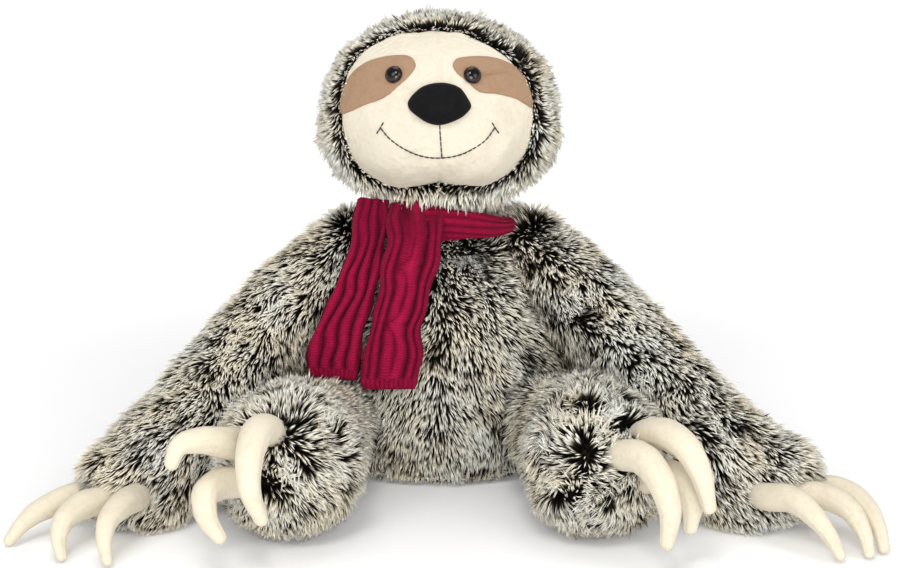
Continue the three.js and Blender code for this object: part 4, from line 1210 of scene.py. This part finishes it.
def claw(name):
    r, *points = CLAWS[name]
    rows, n = 64, 40
    points = np.asarray(points, float)
    inwards = unit(points[0] - points[1])
    body_mid = np.array(LIMBS[("arm_" if "hand" in name else "leg_") + name.split("_")[2]][-1][:3], float)
    inwards = unit(inwards + 0.6 * unit(body_mid - points[0]))
    length = np.linalg.norm(np.diff(by_length(points, 60), axis=0), axis=1).sum()
    c = by_length(np.vstack([points[0] + inwards * ROOT_IN, points]), rows)
    s = np.maximum(0, np.linspace(-ROOT_IN / length, 1, rows))
    rr = r * np.interp(s, CLAW_AT, TAPER[name[5:9]])
    rr *= np.interp(np.linspace(0, 1, rows), [0, 0.16, 0.3], [0.80, 0.97, 1.0])
    k = np.ones(9) / 9
    rr = np.convolve(np.pad(rr, 4, mode="edge"), k, mode="valid")
    d = unit(np.gradient(c, axis=0))
    plane = unit(np.cross(c[rows // 2] - c[0], c[-1] - c[0]))
    f = unit(plane - (d @ plane)[:, None] * d)
    e = np.cross(d, f)
    t = np.linspace(0, 2 * math.pi, n, endpoint=False)
    lumps = Waves(14, 50 + sum(map(ord, name)) % 40)
    rings = []
    for i in range(rows):
        # the seam runs along both flats of the felt
        seam = 0.45 * (np.exp(-((np.abs(np.sin(t / 2 - math.pi / 4))) / 0.055) ** 2) + np.exp(-((np.abs(np.cos(t / 2 - math.pi / 4))) / 0.055) ** 2))
        base = c[i] + rr[i] * (np.cos(t)[:, None] * e[i] + np.sin(t)[:, None] * f[i])
        rad = rr[i] + 0.10 * lumps(base) - seam * smooth(s[i], 0, 0.05)
        rings.append(c[i] + rad[:, None] * (np.cos(t)[:, None] * e[i] + np.sin(t)[:, None] * f[i]))
    rings = np.array(rings)
    heads = [c[0] - d[0] * rr[0] * math.cos(a) + (rings[0] - c[0]) * math.sin(a) for a in np.radians([25, 50, 72])]
    tails = [c[-1] + d[-1] * rr[-1] * math.sin(a) + (rings[-1] - c[-1]) * math.cos(a) for a in np.radians([18, 36, 54, 70, 82])]
    shape = loft(np.array(heads + list(rings) + tails), c[0] - d[0] * rr[0], c[-1] + d[-1] * rr[-1])
    ob = piece(name.replace("claw_", "felt_claw_"), shape, MAT_CLAW)
    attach(ob, name)
    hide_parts(name)


for _name in CLAWS:
    claw(_name)

# ---------------------------------------------------------------- scarf

STITCH = 1.9  # length of one knitted stitch
CABLE = 40.0  # from one crossing of a cable to the next


def round_rib(x, middle, half, high):
    return high * np.clip(1 - ((x - middle) / half) ** 2, 0, 1) ** 0.8


def stitch_rows(x, s, middle, half):
    """Slanted rows of stitches in two columns about the middle of a rib."""
    g = (x - middle) / half
    st = (s / STITCH + 0.75 * np.abs(g)) % 1.0
    return (0.5 - 0.5 * np.cos(2 * math.pi * st)) * (1 - np.clip(np.abs(g), 0, 1) ** 3) * np.where(np.abs(g) < 0.08, 0.4, 1.0)


def cable_height(x, s):
    """Two thick strands side by side that cross over each other at intervals, with ribs beside them.
    Gives the height, and how much each place stands out as the top of a stitch."""
    phase = s * math.pi / CABLE + 0.9
    c = np.cos(phase)
    swing = 4.4 * np.tanh(2.0 * c) / math.tanh(2.0)
    cross = np.exp(-((c / 0.45) ** 2))
    side = np.where(np.floor(phase / math.pi + 0.5) % 2 == 0, 1.0, -1.0)
    half = 4.7 + 3.2 * cross
    r1 = round_rib(x, swing, half, 1.0) * (3.6 + 1.5 * side * cross)
    r2 = round_rib(x, -swing, half, 1.0) * (3.6 - 1.5 * side * cross)
    strand = np.maximum(r1, r2)
    lean = np.where(r1 >= r2, swing, -swing)
    st = stitch_rows(x, s, lean, half) * smooth(strand, 0.2, 1.0)
    h = strand + 0.6 * st
    w = 0.9 * np.sin(2 * phase)
    for middle, half, high in ((-18.2, 2.5, 2.3), (-12.8, 2.8, 3.0), (12.8, 2.8, 3.0), (18.2, 2.5, 2.3)):
        k = round_rib(x, middle + w * 0.6, half, high)
        ks = stitch_rows(x, s, middle + w * 0.6, half) * smooth(k, 0.2, 1.0)
        st = np.where(k + 0.5 * ks > h, ks, st)
        h = np.maximum(h, k + 0.5 * ks)
    return h, st


def rib_height(x, s):
    """Four wide, wavy ribs with deep channels between them."""
    h = np.zeros_like(x)
    st = np.zeros_like(x)
    for k, middle in enumerate((-15.2, -5.2, 5.2, 15.2)):
        m = middle + 1.1 * np.sin(s * 2 * math.pi / 34 + 1.1 * k)
        half = 4.6 + 0.6 * np.sin(s * 2 * math.pi / 34 + 1.1 * k + 1.5)
        r = round_rib(x, m, half, 3.6)
        rs = stitch_rows(x, s, m, half) * smooth(r, 0.2, 1.0)
        st = np.where(r + 0.6 * rs > h, rs, st)
        h = np.maximum(h, r + 0.6 * rs)
    return h, st


def strip(name, centre, across, normal, half, thick, pattern, node, body, wave=None):
    """A knitted strip: centre line (rows, 3), across and normal (rows, 3), half width (rows)."""
    rows = len(centre)
    s = np.concatenate([[0], np.cumsum(np.linalg.norm(np.diff(centre, axis=0), axis=1))])
    total = s[-1]
    cols = 91
    q = np.linspace(-1, 1, cols)
    x = q[None, :] * half[:, None]
    nominal = q[None, :] * 20.5
    ss = np.repeat(s[:, None], cols, 1)
    wander = (0.9 * np.sin(2 * math.pi * ss / 43 + 0.8) + 0.3 * np.sin(2 * math.pi * ss / 19 + 2.0)) * (1 - (nominal / 22) ** 2)
    hh, st = pattern(nominal + wander, ss)
    hh = hh * (0.5 + 0.5 * smooth(ss / total, 0.1, 0.4))
    # a ribbed border at the free end
    fine = 1.5 * np.abs(np.sin(nominal * math.pi / 3.4 + 0 * ss)) ** 0.7 + 0.25 * np.sin((ss / STITCH % 1.0) * math.pi)
    border = smooth(total - ss, 9.0, 6.0)
    hh = hh * (1 - border) + (1.6 + fine) * border
    edge = np.sqrt(np.clip(1 - np.abs(q) ** 9, 0, 1))
    end = np.sqrt(np.clip(1 - np.clip((3.2 - (total - s)) / 3.2, 0, 1) ** 2, 0.02, 1))
    start = np.sqrt(np.clip(1 - np.clip((2.5 - s) / 2.5, 0, 1) ** 2, 0.02, 1))
    body_k = (edge[None, :] * (end * start)[:, None])
    fold = wave(q[None, :], s[:, None])
    top = (0.30 * thick + hh) * body_k + fold
    bottom = (-0.30 * thick - 0.35 * hh) * body_k + fold
    curl = -1.0 * np.abs(q) ** 10
    pf = centre[:, None, :] + x[..., None] * across[:, None, :] + (top + curl)[..., None] * normal[:, None, :]
    pb = centre[:, None, :] + x[..., None] * across[:, None, :] + (bottom + curl)[..., None] * normal[:, None, :]
    ring = np.concatenate([pf, pb[:, ::-1][:, 1:-1]], axis=1)
    # painted shade and highlight for the yarn: darker in the channels and in the folds of the cloth, lighter on the
    # tops of ribs and stitches
    tuck = fold / max(1e-6, np.abs(fold).max())
    shade = np.clip(0.06 + 0.62 * (np.clip(hh, 0, 4.4) / 4.2) ** 1.1 + 0.26 * st + 0.12 * tuck * (1 - border), 0, 1)
    face = np.stack([shade, st], axis=-1)
    uv = np.concatenate([face, face[:, ::-1][:, 1:-1]], axis=1)
    first, last = ring[0], ring[-1]
    shape = loft(ring, first.mean(axis=0), last.mean(axis=0))
    uv = np.vstack([uv.reshape(-1, 2), [[0.5, 0.5], [0.5, 0.5]]])
    ob = piece(name, shape, MAT_KNIT, uv, "knit")
    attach(ob, body)
    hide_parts(node)
    return ob


def tail_strip(name, stations, turn, node, body, seed, pattern, gather):
    st = np.asarray(stations, float)
    pts = st[:, [0, 2, 1]]
    c = centripetal(pts, np.linspace(0, 1, 400))
    length = np.linalg.norm(np.diff(c, axis=0), axis=1).sum()
    rows = int(length / 0.46)
    c = by_length(pts, rows)
    w = np.interp(c[:, 2], st[::-1, 1], st[::-1, 3])
    left = length * (1 - np.linspace(0, 1, rows))
    w = w * (1 - 0.10 * (1 - smooth(left, 0, 5))) + 0.9 * np.sin(2 * math.pi * left / 31 + seed)
    across = np.tile([math.cos(math.radians(turn)), -math.sin(math.radians(turn)), 0.0], (rows, 1))
    d = unit(np.gradient(c, axis=0))
    n = unit(np.cross(across, d))
    n = np.where(n[:, 1:2] > 0, -n, n)
    r = np.random.default_rng(seed)
    f1, f2 = r.uniform(0, 6.28, 2)

    def wave(q, s):
        u = s / length
        pleat = gather * (1 - smooth(u, 0.08, 0.62)) * (0.35 + 0.65 * smooth(u, 0.0, 0.06)) + 0.25
        return pleat * (np.sin(8.0 * q + 0.8 * np.sin(3 * u) + f1) + 0.35 * np.sin(13 * q - 2.0 * u + f2)) + 0.7 * np.sin(2.2 * q + 2.2 * u + f2)

    return strip(name, c, across, n, w, 3.2, pattern, node, body, wave)


def loop_strip():
    rows = 560
    t = np.linspace(0, 2 * math.pi, rows, endpoint=False)
    side, front, back = np.sin(t) ** 2, np.where(np.cos(t) > 0, np.cos(t) ** 2, 0), np.where(np.cos(t) < 0, np.cos(t) ** 2, 0)
    z = 181 * front + 172 * side + 177 * back
    h = 10.5 * front + 4.4 * side + 6 * back
    out = np.stack([np.sin(t), -np.cos(t), np.zeros(rows)], axis=1)
    c = np.stack([LOOP_C[0] + LOOP_R[0] * out[:, 0], LOOP_C[1] + (LOOP_R[1] - 4.5 * back) * out[:, 1], z], axis=1)
    s = 48 * t
    cols = 84
    g = np.linspace(0, 2 * math.pi, cols, endpoint=False)
    across = 8.5 * g[None, :]
    rib = np.abs(np.sin(g[None, :] * 5 + 0.5 * np.sin(2 * t)[:, None])) ** 0.7
    st = (s[:, None] / STITCH + 0.5 * np.abs(((g[None, :] * 5 / math.pi) % 1.0) - 0.5)) % 1.0
    loops = np.sin(st * math.pi) ** 0.8 * rib
    fold = 1.5 * np.sin(2 * g[None, :] + 3 * t[:, None]) + 0.9 * np.sin(3 * g[None, :] - 5 * t[:, None] + 1)
    r = 4.9 + 1.9 * rib + 0.45 * loops + 0.5 * fold
    k = h[:, None] / 6.5
    p = c[:, None, :] + (r * np.cos(g))[..., None] * out[:, None, :] + (r * k * np.sin(g))[..., None] * np.array([0, 0, 1.0])
    # painted shade and highlight for the yarn: lighter on the ribs and the tops of the stitches
    uv = np.stack([0.12 + 0.42 * rib + 0.1 * loops, (s[:, None] / STITCH / 8 + 0 * rib) % 1.0], axis=-1).reshape(-1, 2)
    ob = piece("scarf_wrap", loft(p, closed_rows=True), MAT_KNIT, uv, "knit")
    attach(ob, "torso")
    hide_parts("scarf_loop")


# the cloth tails lean back under the chin and reach a little lower than their stuffed cores
CLOTH_FRONT = [[-16, 194.5, -50, 18.5], [-16.5, 189, -57, 18.8], [-16.8, 182.5, -65.5, 19]] + TAIL_FRONT[2:-1] + [[-34, 74.5, -89, 19.5]]
CLOTH_REAR = [[-45, 196, -46, 12], [-46, 190, -51, 12]] + TAIL_REAR[2:-1] + [[-72, 78, -77.5, 18.6]]
tail_strip("scarf_tail_a", CLOTH_FRONT, 0.0, "scarf_tail_front", "scarf_front", 3, cable_height, 2.7)
tail_strip("scarf_tail_b", CLOTH_REAR, TAIL_REAR_TURN, "scarf_tail_rear", "scarf_rear", 4, rib_height, 1.0)
loop_strip()

# ---------------------------------------------------------------- stage, light, camera


def stage():
    """A sheet of white paper that lies flat and sweeps up into a wall far from the set."""
    n = 96
    prof = [(r, 0.0) for r in (300, 900, 1800, 3200, 5000, 6800)]
    prof += [(6800 + 2400 * math.sin(g), 2400 * (1 - math.cos(g))) for g in np.radians(np.linspace(6, 90, 15))]
    prof += [(9200, 3200)]
    t = np.linspace(0, 2 * math.pi, n, endpoint=False)
    v = [np.stack([r * np.cos(t), r * np.sin(t), np.full(n, z)], axis=1) for r, z in prof]
    me_v = np.vstack(v + [[[0.0, 0.0, 0.0]]])
    i, j = np.meshgrid(np.arange(len(prof) - 1), np.arange(n), indexing="ij")
    k = (j + 1) % n
    q = np.stack([i * n + j, (i + 1) * n + j, (i + 1) * n + k, i * n + k], axis=-1).reshape(-1, 4)
    c = np.stack([np.full(n, len(me_v) - 1), np.arange(n), (np.arange(n) + 1) % n], axis=1)
    loops = np.concatenate([q.ravel(), c.ravel()]).astype(np.int32)
    starts = np.concatenate([np.arange(len(q)) * 4, len(q) * 4 + np.arange(n) * 3]).astype(np.int32)
    m = Nodes("floor_white_glow")
    m.colour((0.86, 0.86, 0.86, 1))
    # painted light: the paper glows, weakly by the middle of the set and more strongly further away, so the far paper
    # reads white while the shade by the set stays darker
    away = m.add("ShaderNodeVectorMath", operation="LENGTH")
    m.link(m.coords(), away.inputs[0])
    glow = m.add("ShaderNodeMapRange", interpolation_type="SMOOTHSTEP", i_1=0.25, i_2=1.1, i_3=0.07, i_4=0.47)
    m.link(away.outputs["Value"], glow.inputs[0])
    m.link(glow.outputs[0], m.bsdf.inputs["Emission Strength"])
    m.finish(0.9, Specular_IOR_Level=0.1, Emission_Color=(1.0, 1.0, 1.0, 1.0))
    ob = raw_piece("floor", me_v, loops, starts, m.m)


stage()


def area(name, place, target, size, power, colour=(1, 1, 1)):
    d = bpy.data.lights.new(name, "AREA")
    d.shape = "DISK"
    d.size = size
    d.energy = power
    d.color = colour
    ob = bpy.data.objects.new(name, d)
    bpy.context.scene.collection.objects.link(ob)
    ob.location = place
    w = np.array(target, float) - np.array(place, float)
    ob.rotation_mode = "QUATERNION"
    ob.rotation_quaternion = Vector(w).to_track_quat("-Z", "Y")
    return ob


area("key", (-1.3, -2.2, 2.1), (0, 0, 0.12), 1.4, 18)
area("fill", (1.8, -1.9, 1.5), (0, 0, 0.15), 1.6, 15)
area("front", (0.15, -2.6, 0.75), (0, 0, 0.1), 1.3, 33)
area("top", (0.0, 0.6, 2.6), (0, 0, 0.1), 1.8, 15)
area("spark", (-0.16, -1.27, 1.9), (0, -0.07, 0.28), 0.6, 10)

world = bpy.data.worlds.new("studio")
bpy.context.scene.world = world
world.use_nodes = True
world.node_tree.nodes["Background"].inputs["Color"].default_value = (1, 1, 1, 1)
world.node_tree.nodes["Background"].inputs["Strength"].default_value = 0.46

cam = bpy.data.cameras.new("camera")
cam.sensor_width = 36.0
cam.sensor_fit = "HORIZONTAL"
cam.lens = 2041.8 / 900 * 36.0
cam.clip_start, cam.clip_end = 0.05, 60
cam_ob = bpy.data.objects.new("camera", cam)
bpy.context.scene.collection.objects.link(cam_ob)
cam_ob.location = (0.007075, -1.4, 0.47774)
cam_ob.rotation_euler = (math.pi / 2 - PITCH, 0, 0)
bpy.context.scene.camera = cam_ob
bpy.context.scene.view_settings.view_transform = "Standard"
